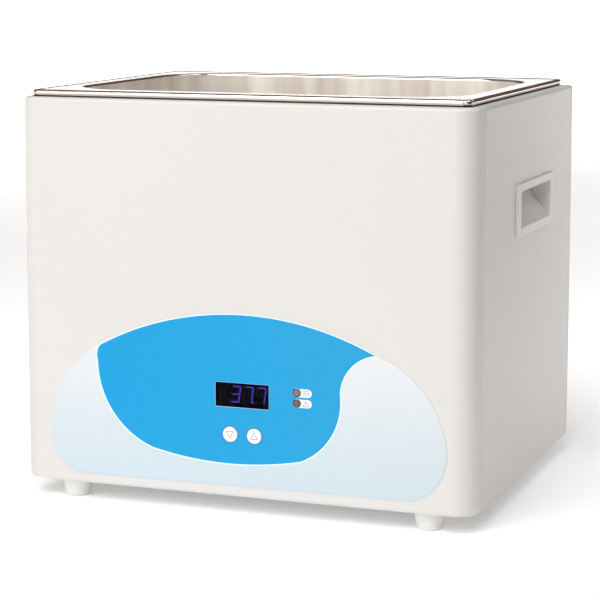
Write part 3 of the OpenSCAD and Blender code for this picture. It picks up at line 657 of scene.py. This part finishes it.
def panel_openings(window_gap):
    """Outlines of the openings for the window, then the keys, then the lamps."""
    keys = [node_circle(k, key_radius() + KEY_GAP) for k in ("down_key", "up_key")]
    lamps = [node_circle(k, lamp_radius() + LAMP_GAP) for k in ("heater_lamp", "alarm_lamp")]
    return [window_outline(window_gap)] + keys + lamps


def make_casing():
    """Sheet casing with its openings, and a fine seam where each front corner ends."""
    shell = as_object(folded_block(0), "casing_shell")
    cut(shell, folded_block(SHEET))
    seam_y = CASE_LOW.y + CORNER_R - 1
    for side in (-1, 1):
        x = sorted((side * (CASE_HIGH.x - 0.5), side * (CASE_HIGH.x + SEAM)))
        low, high = (x[0], seam_y, CASE_LOW.z + FOLD_R), (x[1], seam_y + 1, CASE_HIGH.z - FOLD_R)
        cut(shell, block(low, high), "UNION")
    grow = 2 * (TANK_SHEET + TANK_GAP)
    opening = rounded_rect((0, 0), (TANK_W + grow, TANK_D + grow), TANK_R + grow / 2, 16)
    service = rounded_rect((0, 0), (SERVICE_W, SERVICE_D), 3)
    rear = rounded_rect(
        (0, (CASE_LOW.z + CASE_HIGH.z) / 2),
        (CASE_HIGH.x - CASE_LOW.x - 2 * REAR_FRAME, CASE_HIGH.z - CASE_LOW.z - 2 * REAR_FRAME), 4)
    holes = [
        plate(opening, [], CASE_HIGH.z - 6, CASE_HIGH.z + 4, upright=False),
        plate(service, [], CASE_LOW.z - 4, CASE_LOW.z + 6, upright=False),
        plate(rear, [], CASE_HIGH.y - 5, CASE_HIGH.y + 5),
    ]
    holes += [plate(o, [], CASE_LOW.y - 5, CASE_LOW.y + 5) for o in panel_openings(0.15)]
    at = middle("grip_right")
    y, z = GRIP_HOLE_L / 2 + GRIP_WALL + 0.3, GRIP_HOLE_H / 2 + GRIP_WALL + 0.3
    for side in (-1, 1):
        x = sorted((side * (CASE_HIGH.x - 3), side * (CASE_HIGH.x + 3)))
        holes.append(block((x[0], at.y - y, at.z - z), (x[1], at.y + y, at.z + z)))
    cut(shell, merged(*holes))
    publish(shell, "bath", PAINT, ["outer_case"], 30)


# ---------------- tank

def rim_path(width, depth, radius, step, z):
    """Rounded rectangle whose corners stand back by a step, with the step's ends on its sides."""
    blend_l = 0.5
    points = []
    for turn, (sx, sy) in enumerate([(1, 1), (-1, 1), (-1, -1), (1, -1)]):
        cx, cy = sx * (width / 2 - radius), sy * (depth / 2 - radius)
        start = math.radians(90 * turn)
        ahead = (-math.sin(start), math.cos(start))
        out = (math.cos(start), math.sin(start))
        points.append((cx + radius * out[0] - blend_l * ahead[0],
                       cy + radius * out[1] - blend_l * ahead[1]))
        points += arc((cx, cy), radius - step, 90 * turn, 90 * turn + 90, 12)
        points.append((cx + radius * ahead[0] - blend_l * out[0],
                       cy + radius * ahead[1] - blend_l * out[1]))
    return [(x, y, z) for x, y in points]


def pan_rings(wall):
    """Rings of the drawn pan from its floor up to the flange, wall outside its inner face."""
    top, floor = RIM_HIGH.z, RIM_HIGH.z - TANK_FLOOR_BELOW_RIM
    bend, r = quarter(8), FLOOR_R + wall
    levels = [(FLOOR_R - r * math.sin(a), floor + FLOOR_R - r * math.cos(a)) for a in bend]
    lip, lip_z = LIP_R - wall, top - FLANGE_DROP - LIP_R
    levels += [(-LIP_R + lip * math.cos(a), lip_z + lip * math.sin(a)) for a in bend]
    return [rim_path(TANK_W - 2 * inset, TANK_D - 2 * inset, TANK_R - inset, 0, z)
            for inset, z in levels]


def hem_ring(inset, z):
    width, depth = RIM_HIGH.x - RIM_LOW.x, RIM_HIGH.y - RIM_LOW.y
    return rim_path(width - 2 * inset, depth - 2 * inset, RIM_CORNER_R - inset, CORNER_STEP, z)


def hem_rings():
    """Rings of the rolled edge, which stands a little above the flange: up from the flange,
    over its outside, back under itself and along its inside."""
    middle_z = RIM_HIGH.z - HEM_R
    steps = 8
    outside = [math.pi * (0.5 - i / steps) for i in range(steps + 1)]
    thin = HEM_R - TANK_SHEET
    rings = [hem_ring(HEM_R + 1.5, RIM_HIGH.z - FLANGE_DROP),
             hem_ring(HEM_R + 0.8, RIM_HIGH.z - 0.4 * FLANGE_DROP)]
    rings += [hem_ring(HEM_R - HEM_R * math.cos(a), middle_z + HEM_R * math.sin(a)) for a in outside]
    rings.append(hem_ring(HEM_LEG, middle_z - HEM_R))
    rings.append(hem_ring(HEM_LEG, middle_z - thin))
    rings += [hem_ring(HEM_R - thin * math.cos(a), middle_z + thin * math.sin(a))
              for a in reversed(outside)]
    return rings


def make_tank():
    skin = loft(pan_rings(0) + hem_rings() + list(reversed(pan_rings(TANK_SHEET))))
    studs = []
    for name, length, drop in (("tank_nuts", 15, 0), ("heater_nuts", 11, TANK_FLOOR_BELOW_RIM)):
        high = box(name)[1]
        x, y = high.x - 4.6, high.y - 4
        top = RIM_HIGH.z - drop - TANK_SHEET
        stud = lathe([(0, -length), (STUD_R - 0.4, -length), (STUD_R, -length + 0.5), (STUD_R, 0),
                      (0, 0)], 20)
        studs.append(copies(stud, [Matrix.Translation((sx * x, sy * y, top))
                                   for sx in (-1, 1) for sy in (-1, 1)]))
    tank = as_object(merged(skin, *studs), "tank_pan")
    publish(tank, "bath", [SATIN_STEEL, STEEL], ["tank"], 40)
    edge = Vector((TANK_W / 2 + LIP_R, TANK_D / 2 + LIP_R)) * MM
    lip_z = (RIM_HIGH.z - LIP_R) * MM
    for face in tank.data.polygons:
        beyond = abs(face.center.x) > edge.x or abs(face.center.y) > edge.y
        face.material_index = int(beyond or face.center.z > lip_z)


def make_shelf():
    low, high = box("base_shelf")
    pitch, hole_r, finger_r = 22, 5, 10
    places = [(i * pitch, j * pitch) for i in range(-5, 6) for j in range(-3, 4)]
    places += [(i * pitch, j * pitch) for i in (-6, 6) for j in (-1, 1)]
    holes = [circle(p, hole_r, 24) for p in places]
    holes += [circle((s * 6 * pitch, 0), finger_r, 36) for s in (-1, 1)]
    outline = rounded_rect((0, 0), (high.x - low.x, high.y - low.y), TANK_R - 8, 12)
    sheet = plate(outline, holes, low.z, high.z, 0.2, upright=False)
    publish(as_object(sheet, "shelf_sheet"), "shelf", SHELF_STEEL, ["base_shelf"])


# ---------------- grips and feet

def make_grip(node, side):
    """Bezel with soft edges round a finger pocket whose floor slopes inward and up."""
    low, high = box(node)
    size = (high.y - low.y, high.z - low.z)
    edge = 1.0
    face = GRIP_PROUD
    back = (high.x - low.x) - GRIP_PROUD - GRIP_WALL
    levels = [(0, 0), (face - edge, 0)]
    levels += [(face - edge * (1 - math.sin(a)), edge * (1 - math.cos(a)))
               for a in quarter(5)[1:]]
    rings = [[(x, y, z) for y, z in rounded_rect((0, 0), (size[0] - 2 * inset, size[1] - 2 * inset),
                                                 3 - inset, 6)] for x, inset in levels]
    grip = as_object(loft(rings), "grip_" + ("right" if side > 0 else "left") + "_moulding")
    hz, hl = GRIP_HOLE_H / 2, GRIP_HOLE_L / 2
    outside = [(0.1, -hz - GRIP_WALL), (0.1, hz + GRIP_WALL), (-back - GRIP_WALL, hz + GRIP_WALL),
               (-back - GRIP_WALL, hz - 3), (-3, -hz - GRIP_WALL)]
    tub = loft([[(x, y, z) for x, z in outside] for y in (-hl - GRIP_WALL, hl + GRIP_WALL)])
    cut(grip, tub, "UNION")
    inside = [(face + 1, -hz), (face + 1, hz), (-back, hz), (-back, hz - 2), (0, -hz)]
    pocket = as_object(loft([[(x, y, z) for x, z in inside] for y in (-hl, hl)]), "pocket")
    round_edges(pocket, 0.8, 3, 20)
    cut(grip, taken(pocket))
    round_edges(grip, 0.35, 2, 50)
    at = middle(node)
    wall_x = CASE_HIGH.x
    grip.data.transform(Matrix.Translation((wall_x, at.y, at.z)))
    if side < 0:
        grip.data.transform(Matrix.Scale(-1, 4, (1, 0, 0)))
        grip.data.flip_normals()
    publish(grip, "bath", GRIP, [node], 30)


def make_foot(node):
    low, high = box(node)
    at = middle(node)
    top_r, tip_r, h, bore = (high.x - low.x) / 2, 9.7, high.z - low.z, 5
    edge, seat = 1.5, 6
    profile = [(0, h - seat + 0.01), (2.2, h - seat), (bore - 0.4, h - seat), (bore, h - seat - 0.4),
               (bore, 0.5), (bore + 0.5, 0)]
    profile += [(tip_r - edge + edge * math.sin(a), edge - edge * math.cos(a))
                for a in quarter(6)]
    profile += [(top_r - 0.15, h - 1.0), (top_r, h - 0.5), (top_r - 0.3, h), (0, h)]
    foot = lathe(profile, 64)
    publish(as_object(placed(foot, Matrix.Translation((at.x, at.y, low.z))), node + "_moulding"),
            "bath", FOOT, [node], 40)


# ---------------- screws

def screw(r, length):
    """Pan-head screw with a cross recess. Its head's seat is at z = 0 and it points down."""
    dome = [(1.9 * r * math.cos(a), 0.45 * r + 0.65 * r * math.sin(a))
            for a in quarter(8)[:-1]]
    profile = [(0, -length), (0.6 * r, -length), (r, -length + 0.6 * r), (r, 0), (1.85 * r, 0),
               (1.9 * r, 0.1 * r)] + dome + [(0, 1.1 * r)]
    head = as_object(lathe(profile, 32), "screw")
    arm, width = 1.05 * r, 0.17 * r
    tip, deep = 0.35 * r, 0.4 * r
    slots = []
    for turn in (0, math.pi / 2):
        rings = [[(-tip, -width / 2, deep), (tip, -width / 2, deep), (tip, width / 2, deep),
                  (-tip, width / 2, deep)],
                 [(-arm, -width, 1.3 * r), (arm, -width, 1.3 * r), (arm, width, 1.3 * r),
                  (-arm, width, 1.3 * r)]]
        slots.append(placed(loft(rings), Matrix.Rotation(turn, 4, "Z")))
    for slot in slots:
        cut(head, slot)
    return taken(head)


def make_screws(node, r, length, places, axis):
    """One piece for a group of like screws. Each turns a little differently."""
    matrices = [facing(axis, p) @ Matrix.Rotation(0.7 * i, 4, "Z") for i, p in enumerate(places)]
    group = as_object(copies(screw(r, length), matrices), node + "_heads")
    publish(group, "bath", ZINC, [node], 40)


def rear_screw_places():
    low, high = box("back_panel")
    x, z, mid = high.x - 7, (high.z - low.z) / 2 - 7, (low.z + high.z) / 2
    places = [(sx * x, high.y, mid + sz * z) for sx in (-1, 1) for sz in (-1, 0, 1)]
    return places + [(0, high.y, mid + sz * z) for sz in (-1, 1)]


# ---------------- front panel

def local(points):
    """Points measured from the panel's centre line and the casing's underside."""
    return [(x + PANEL_X, z + PANEL_Z) for x, z in points]


LEFT_TIP, RIGHT_TIP = (-115, 108), (104, 113.5)


def label_outline():
    return local(
        through(LEFT_TIP, (-6, 137.4), RIGHT_TIP, 40) + through(RIGHT_TIP, (142, 86), (157, 46), 20)
        + through((157, 46), (150, 23), (128, 8), 12) + through((-133, 8), (-150, 18.5), (-157, 42), 12)
        + through((-157, 42), (-143, 83), LEFT_TIP, 20))


def blue_outline():
    return local(
        through(LEFT_TIP, (-6, 137.4), RIGHT_TIP, 40) + through(RIGHT_TIP, (85, 104), (76.5, 84), 14)
        + through((76.5, 84), (70, 52), (46, 31), 16) + through((46, 31), (-12, 25), (-72, 32.4), 20)
        + through((-72, 32.4), (-103, 55), (-117, 96), 16) + through((-117, 96), (-117.6, 102), LEFT_TIP, 4))


def make_label():
    """The film, with the printed fields as thin layers of ink on it, and thin dark blue rings of painted
    shade round the two key openings.
    """
    low, high = box("front_label")
    holes = panel_openings(0.1)
    base = as_object(plate(label_outline(), holes, low.y, high.y, LABEL_EDGE), "label_film")
    publish(base, "bath", PALE, ["front_label"])
    face = low.y
    blue = blue_outline()
    cleared = [offset(h, 0.1) for h in holes]
    edge = as_object(plate(offset(blue, OUTLINE_W / 2), [offset(blue, -OUTLINE_W)],
                           face - 0.5 * PRINT_T, face), "field_outline")
    publish(edge, "bath", OUTLINE_INK)
    field = as_object(plate(offset(blue, -0.35), cleared, face - PRINT_T, face), "blue_field")
    publish(field, "bath", BLUE)
    rim = plate(offset(holes[0], 0.4), [offset(holes[0], 0.12)], face - 1.6 * PRINT_T, face)
    publish(as_object(rim, "window_line"), "bath", WINDOW_INK)
    # Painted shade: dark blue rings round the two key openings stand in for the shade in the gap round each
    # key.
    rings = [plate(offset(h, 0.55), [offset(h, 0.12)], face - 1.6 * PRINT_T, face)
             for h in holes[1:3]]
    publish(as_object(merged(*rings), "key_rings"), "bath", KEY_GAP_SHADE)


def band(outline, width):
    """Outline and hole of a line of the given width inside a closed shape."""
    return outline, [offset(outline, -width)]


def triangle(centre, size, point_up):
    sign = 1 if point_up else -1
    (x, z), half = centre, size / 2
    foot, top = z - sign * half * 0.85, z + sign * half * 0.95
    return [(x - half, foot), (x + half, foot), (x, top)]


def make_pills():
    """White tabs right of the lamps, with a small heater and alarm sign in grey."""
    face = box("front_label")[0].y - PRINT_T
    bodies, signs = [], []
    for node in ("heater_lamp", "alarm_lamp"):
        at = middle(node)
        x0 = at.x - lamp_radius() - 0.1
        centre = (x0 + PILL_W / 2, at.z)
        pill = rounded_rect(centre, (PILL_W, PILL_H), PILL_H / 2 - 0.05, 10)
        bodies.append(plate(pill, [circle((at.x, at.z), lamp_radius() + 0.05)], face - PRINT_T, face))
        sign_x = x0 + 10.2
        y0, y1 = face - 2 * PRINT_T, face - PRINT_T
        if node == "heater_lamp":
            edge = rounded_rect((sign_x, at.z), (4.6, 4.0), 0.5, 3)
            inner = [rounded_rect((sign_x + dx, at.z), (0.4, 2.2), 0.19, 2) for dx in (-1.1, 0, 1.1)]
        else:
            edge = triangle((sign_x, at.z), 5.2, True)
            inner = [rounded_rect((sign_x, at.z - 0.1), (0.4, 1.5), 0.19, 2),
                     circle((sign_x, at.z - 1.4), 0.24, 12)]
        signs.append(plate(*band(edge, 0.4), y0, y1))
        signs += [plate(shape, [], y0, y1) for shape in inner]
    publish(as_object(merged(*bodies), "lamp_tabs"), "bath", WHITE_INK)
    publish(as_object(merged(*signs), "lamp_signs"), "bath", GREY_INK)


def make_key(node, point_up):
    """Round cap with a soft edge and a guiding flange, and its printed arrow."""
    low, high = box(node)
    at = middle(node)
    r, soft = key_radius(), 0.6
    length = high.y - low.y
    cap = CASE_LOW.y + SHEET + 0.4 - low.y
    face = [(0, 0), (r - soft, 0)]
    face += [(r - soft + soft * math.sin(a), soft - soft * math.cos(a))
             for a in quarter(5)[1:]]
    wide = r + KEY_FLANGE
    body = face + [(r, cap), (wide, cap), (wide, cap + 1), (2, cap + 1), (2, length - 0.3),
                   (1.7, length), (0, length)]
    key = placed(lathe(body, 64), facing((0, 1, 0), (at.x, low.y, at.z)))
    publish(as_object(key, node + "_cap"), node, KEY_WHITE, [node])
    arrow = triangle((at.x, at.z + (0.2 if point_up else -0.2)), 6.3, point_up)
    outline, hole = band(arrow, 0.48)
    sign = as_object(plate(outline, hole, low.y - PRINT_T, low.y), node + "_arrow")
    publish(sign, node, GREY_INK)


def make_lamp(node, glass):
    """Domed lens in a dark collar."""
    low, high = box(node)
    at = middle(node)
    r, dome, collar = lamp_radius(), 0.6, 0.85
    ball = (r * r + dome * dome) / (2 * dome)
    profile = [(0, 0)] + [(r * i / 12, ball - math.sqrt(ball * ball - (r * i / 12) ** 2))
                          for i in range(1, 13)] + [(r, high.y - low.y), (0, high.y - low.y)]
    lamp = as_object(placed(lathe(profile, 48), facing((0, 1, 0), (at.x, low.y, at.z))), node + "_lens")
    publish(lamp, "bath", [glass, LENS_RING], [node])
    for face in lamp.data.polygons:
        out = math.hypot(face.center.x / MM - at.x, face.center.z / MM - at.z)
        face.material_index = int(out > r - collar)


def segment_shapes(lit, x, z):
    """Outlines of one digit's bars that are in lit, leaning to the right."""
    w, h, t, lean = DIGIT_W, DIGIT_H, DIGIT_BAR, DIGIT_LEAN
    shapes = []
    for name, row in {"d": -1, "g": 0, "a": 1}.items():
        if name in lit:
            dz = row * (h - t) / 2
            bar = [(t - w / 2, t / 2), (w / 2 - t, t / 2), (w / 2 - t / 2, 0), (w / 2 - t, -t / 2),
                   (t - w / 2, -t / 2), (t / 2 - w / 2, 0)]
            shapes.append([(x + dz * lean + u, z + dz + v) for u, v in bar])
    for name, (side, row) in {"e": (-1, -1), "f": (-1, 1), "c": (1, -1), "b": (1, 1)}.items():
        if name in lit:
            z0 = t / 2 if row > 0 else t - h / 2
            z1 = z0 + h / 2 - 1.5 * t
            dx = side * (w - t) / 2
            bar = [(-t / 2, z0), (t / 2, z0), (t / 2, z1), (-t / 2, z1)]
            shapes.append([(x + dx + u + v * lean, z + v) for u, v in bar])
    if "p" in lit:
        shapes.append(circle((x + w / 2 + 0.3, z - h / 2 + 0.6), 0.7, 16))
    return shapes


def make_digits():
    """Four digits that read a blank, 3, 7 with its point and 7."""
    low, high = box("digit_segments")
    centre = middle("display_window")
    bars = "abcdefgp"
    lit, dark = [], []
    for i, on in enumerate(["", "abcdg", "abcp", "abc"]):
        x = centre.x + (i - 1.5) * DIGIT_PITCH + DIGIT_SHIFT
        off = "".join(b for b in bars if b not in on)
        lit += [plate(o, [], low.y, high.y) for o in segment_shapes(on, x, centre.z)]
        dark += [plate(o, [], low.y, high.y) for o in segment_shapes(off, x, centre.z)]
    publish(as_object(merged(*lit), "lit_bars"), "bath", LIT_SEGMENT, ["digit_segments"])
    publish(as_object(merged(*dark), "dark_bars"), "bath", DARK_SEGMENT)


# ---------------- rear and underside

def slot_shape(x, z, width, length):
    return rounded_rect((x, z), (width, length), width / 2 - 0.01, 5)


def make_back_panel():
    low, high = box("back_panel")
    centre = (0, (low.z + high.z) / 2)
    outline = rounded_rect(centre, (high.x - low.x, high.z - low.z), 4, 8)
    inlet, switch = middle("mains_inlet"), middle("switch_housing")
    holes = [slot_shape(70 + 11 * i, CASE_LOW.z + 62, 4, 44) for i in range(-6, 7)]
    holes.append(rounded_rect((inlet.x, inlet.z), (48.6, 34.6), 1, 3))
    holes.append(rounded_rect((switch.x, switch.z), (14.6, 26.6), 0.5, 3))
    panel = as_object(plate(outline, holes, low.y, high.y, 0.25), "rear_sheet")
    publish(panel, "bath", PAINT, ["back_panel"])


def make_base_plate():
    low, high = box("base_plate")
    outline = rounded_rect((0, 0), (high.x - low.x, high.y - low.y), 4, 8)
    holes = [slot_shape(-50 + 10 * i, 50 * j, 4, 34) for i in range(-5, 6) for j in (-1, 1)]
    sheet = as_object(plate(outline, holes, low.z, high.z, 0.25, upright=False), "base_sheet")
    publish(sheet, "bath", ZINC, ["base_plate"])


def socket_outline(x, z, grow=0.0):
    w, h, cut_l = 12 + grow, 8 + grow, 4.5
    return [(x - w, z - h), (x + w, z - h), (x + w, z + h - cut_l), (x + w - cut_l, z + h),
            (x + cut_l - w, z + h), (x - w, z + h - cut_l)]


def make_inlet():
    low, high = box("mains_inlet")
    at = middle("mains_inlet")
    wall = box("back_panel")[1].y
    socket_z, drawer = at.z + SOCKET_RISE, middle("fuse_drawer")
    flange = plate(rounded_rect((at.x, at.z), (high.x - low.x, high.z - low.z), 3, 6), [], wall,
                   high.y, 0.6)
    inlet = as_object(flange, "inlet_moulding")
    cut(inlet, slab(at.x, at.z, 24, 17, low.y, wall + 0.5), "UNION")
    raised = plate(socket_outline(at.x, socket_z, 1.5), [], wall, high.y - 0.01, 0)
    cut(inlet, raised, "UNION")
    cut(inlet, plate(socket_outline(at.x, socket_z), [], high.y - SOCKET_DEPTH, high.y + 1))
    slot = rounded_rect((drawer.x, drawer.z), (26.6, 7.6), 0.3, 2)
    cut(inlet, plate(slot, [], high.y - 24, high.y + 1))
    for side in (-1, 1):
        hole = circle((at.x + side * INLET_SCREW_X, socket_z), 1.7, 24)
        cut(inlet, plate(hole, [], wall - 1, high.y + 1))
    round_edges(inlet, 0.3, 2, 50)
    publish(inlet, "bath", BLACK, ["mains_inlet"])
    places = [(at.x + side * INLET_SCREW_X, high.y, socket_z) for side in (-1, 1)]
    make_screws("inlet_screws", 1.5, 9, places, (0, 1, 0))


def make_pins():
    at = middle("mains_inlet")
    low, high = box("mains_inlet")
    root, tail = high.y - SOCKET_DEPTH, low.y
    blades = []
    for i in (-1, 0, 1):
        z = at.z + SOCKET_RISE + (3 if i == 0 else -1)
        x = at.x + 7 * i
        blades.append(slab(x, z, 1, 2, root, root + 12))
        blades.append(slab(x, z, 0.4, 3.15, tail - 8, tail))
    pins = round_edges(as_object(merged(*blades), "inlet_blades"), 0.35, 2)
    publish(pins, "bath", CONTACT, ["inlet_pins"])


def make_drawer():
    low, high = box("fuse_drawer")
    at = middle("fuse_drawer")
    w, h = half_size("fuse_drawer")
    drawer = as_object(slab(at.x, at.z, w, h, low.y, high.y), "drawer_moulding")
    front = high.y - 1.2
    for side in (-1, 1):
        x = at.x + side * 6.5
        cut(drawer, block((x - 2.8, front - 22, at.z - h + 1), (x + 2.8, front - 1.5, at.z + h + 1)))
    cut(drawer, block((at.x - 5, front + 0.4, at.z - h - 1), (at.x + 5, high.y + 1, at.z - h + 1.6)))
    round_edges(drawer, 0.35, 2, 50)
    publish(drawer, "fuse_drawer", BLACK, ["fuse_drawer"])


def make_switch():
    """Framed rocker switch with a valley-shaped rocker and its on and off marks."""
    low, high = box("switch_housing")
    at = middle("switch_housing")
    wall = box("back_panel")[1].y
    outline = rounded_rect((at.x, at.z), (high.x - low.x, high.z - low.z), 1.5, 5)
    opening = rounded_rect((at.x, at.z), (12.6, 24.4), 0.6, 3)
    frame_part = plate(outline, [opening], wall, high.y, 0.4)
    barrel = plate(rounded_rect((at.x, at.z), (14.4, 26.4), 0.6, 3), [opening], wall - 18, wall)
    floor = slab(at.x, at.z, 6.4, 12.3, wall - 18, wall - 17)
    tabs = [slab(at.x, at.z + side * 7, 0.4, 3, wall - 26, wall - 18) for side in (-1, 1)]
    housing = as_object(merged(frame_part, barrel, floor, *tabs), "switch_frame")
    publish(housing, "bath", BLACK, ["switch_housing"])
    reach, half, width, valley, mark_at = 11.2, math.radians(10), 12, 1.25, 0.62
    rise = 1 + reach * math.tan(half)
    steps = [1 - i / 8 for i in range(17)]
    section = [(1 + (rise - 1) * abs(t) ** valley, reach * t) for t in steps]
    section += [(-4, -reach), (-7.5, -5), (-7.5, 5), (-4, reach)]
    rings = [[(x, y, z) for y, z in section] for x in (-width / 2, width / 2)]
    rocker = as_object(loft(rings), "rocker_cap")
    round_edges(rocker, 0.35, 2, 45)
    pivot = Vector((at.x, wall - 0.7, at.z))
    turn = Matrix.Translation(pivot) @ Matrix.Rotation(half, 4, "X")
    rocker.data.transform(turn)
    publish(rocker, "rocker", ROCKER, ["power_rocker"])
    face_y = 1 + (rise - 1) * mark_at ** valley
    lean = math.atan((rise - 1) / reach) * 1.1
    bar = plate(rounded_rect((0, 0), (0.7, 4.2), 0.2, 2), [], 0, 0.06)
    ring = plate(circle((0, 0), 2.1, 32), [circle((0, 0), 1.45, 32)], 0, 0.06)
    marks = [placed(mark, turn @ Matrix.Translation((0, face_y, end * mark_at * reach))
                    @ Matrix.Rotation(-end * lean, 4, "X")) for mark, end in ((bar, 1), (ring, -1))]
    publish(as_object(merged(*marks), "rocker_marks"), "rocker", WHITE_INK)


# ---------------- CAD nodes that stay

def dress(material, *nodes):
    for name in nodes:
        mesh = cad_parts[name].data
        mesh.materials.clear()
        mesh.materials.append(material)


def dress_kept_nodes():
    dress(SHELF_STEEL, "shelf_legs")
    # The black gasket under the rim is partly a real seal and partly painted shade for the gap between the
    # rim and the casing top.
    dress(GASKET_RUBBER_AND_GAP_SHADE, "rim_gasket")
    dress(WINDOW, "display_window")
    dress(MODULE_FACE, "display_module")
    dress(ZINC, "tank_nuts", "foot_screws", "foot_nuts", "base_plate_screws", "board_standoffs",
          "board_screws", "heater_plate", "heater_nuts", "probe_clip")
    dress(BLACK, "key_switches", "heater_relay")
    dress(BOARD, "control_board", "power_board")
    dress(CORE, "transformer")
    dress(TERMINAL, "terminal_block")
    dress(MAT, "heater_mat")
    dress(CERAMIC, "thermal_cutout")
    dress(STEEL, "temperature_probe")
    dress(FELT, "insulation_jacket")
    dress(FUSE, "fuses")
    dress(BRASS, "earth_stud")
    dress(DARK_LEAD, "mains_lead", "probe_lead")
    dress(WHITE_LEAD, "heater_lead")
    dress(RIBBON, "ribbon_cable")


# ---------------- camera, lights and floor

def aim(thing, azimuth, elevation, distance, target):
    """Places a camera or lamp round a target, in metres. Azimuth 0 looks along +Y."""
    a, e = math.radians(azimuth), math.radians(elevation)
    back = Vector((math.sin(a) * math.cos(e), -math.cos(a) * math.cos(e), math.sin(e)))
    thing.location = Vector(target) + back * distance
    thing.rotation_mode = "QUATERNION"
    thing.rotation_quaternion = (-back).to_track_quat("-Z", "Y")
    bpy.context.scene.collection.objects.link(thing)
    return thing


def make_camera():
    data = bpy.data.cameras.new("camera")
    data.sensor_width = SENSOR_W
    data.lens = LENS
    data.shift_y = SHIFT_Y
    camera = aim(bpy.data.objects.new("camera", data), VIEW_AZIMUTH, VIEW_ELEVATION, VIEW_DISTANCE,
                 VIEW_TARGET)
    bpy.context.scene.camera = camera


def make_sun(name, azimuth, elevation, strength, spread, colour=(1, 1, 1)):
    data = bpy.data.lights.new(name, "SUN")
    data.energy = strength
    data.angle = math.radians(spread)
    data.color = colour
    aim(bpy.data.objects.new(name, data), azimuth, elevation, 3, (0, 0, 0.15))


def make_card(name, low, high, colour, glow=0.0):
    """Board of the studio, in metres, which glows by the given strength."""
    s = Surface(name)
    s.set(Base_Color=s.ramp(s.noise(3, 2), (0.3, tone(colour, 0.97)), (0.7, colour)), Roughness=0.9,
          Emission_Color=tone(colour, 1) + (1,), Emission_Strength=glow)
    card = as_object(block(low, high), name)
    card.data.materials.append(s.material)


def make_studio():
    """Soft suns, a white backdrop, and dark and bright boards for the steel to mirror."""
    scene = bpy.context.scene
    scene.view_settings.view_transform = "Standard"
    world = bpy.data.worlds.new("studio")
    scene.world = world
    world.use_nodes = True
    background = world.node_tree.nodes["Background"]
    background.inputs["Color"].default_value = (1.0, 0.98, 0.96, 1)
    background.inputs["Strength"].default_value = 0.26
    make_sun("overhead", -6, 56, 1.75, 44)
    make_sun("key", -14, 28, 0.92, 46, (1.0, 0.99, 0.97))
    make_sun("right_top", 96, 58, 1.15, 36)
    make_card("backdrop", (-7, 3.2, 0), (0.62, 3.22, 0.42), (1, 1, 1), 1.15)
    make_card("backdrop_top", (-7, 3.2, 0.42), (0.0, 3.22, 0.68), (1, 1, 1), 0.2)
    make_card("side_bounce", (0.36, -0.45, 0), (0.58, 0.5, 0.01), (1, 1, 1), 0.7)
    make_card("front_board", (-2.4, -2.8, 0), (0.2, -2.78, 1.3), (1.0, 0.96, 0.92), 1.0)
    make_card("rear_dark", (-7, 3.25, 0.4), (4.6, 3.27, 3.6), (0.08, 0.06, 0.05))
    make_card("roof_dark", (-1.3, 0.0, 2.2), (1.3, 1.9, 2.22), (0.05, 0.03, 0.02))
    make_card("rear_right", (0.62, 3.2, 0), (4.6, 3.22, 0.42), (0.95, 0.92, 0.9), 0.45)
    make_card("right_dark", (0.60, -0.6, 0), (0.62, 0.1, 0.8), (0.06, 0.05, 0.04))
    s = Surface("floor_paper")
    s.set(Base_Color=s.ramp(s.noise(30, 2), (0.3, (0.95,) * 3), (0.7, (0.97,) * 3)), Roughness=0.9,
          Emission_Color=(1, 1, 1, 1), Emission_Strength=0.2, Normal=s.bump(s.noise(600, 2), 0.02))
    floor = as_object(block((-60, -60, -0.001), (60, 60, 0)), "floor")
    floor.data.materials.append(s.material)


make_camera()
make_studio()
make_casing()
make_tank()
make_shelf()
make_grip("grip_right", 1)
make_grip("grip_left", -1)
for foot_node in ("foot_front_left", "foot_front_right", "foot_rear_left", "foot_rear_right"):
    make_foot(foot_node)
make_label()
make_pills()
make_key("down_key", False)
make_key("up_key", True)
make_lamp("heater_lamp", OLIVE_LENS)
make_lamp("alarm_lamp", RED_LENS)
make_digits()
make_back_panel()
make_base_plate()
make_screws("back_panel_screws", 1.5, 7, rear_screw_places(), (0, 1, 0))
make_inlet()
make_pins()
make_drawer()
make_switch()
dress_kept_nodes()
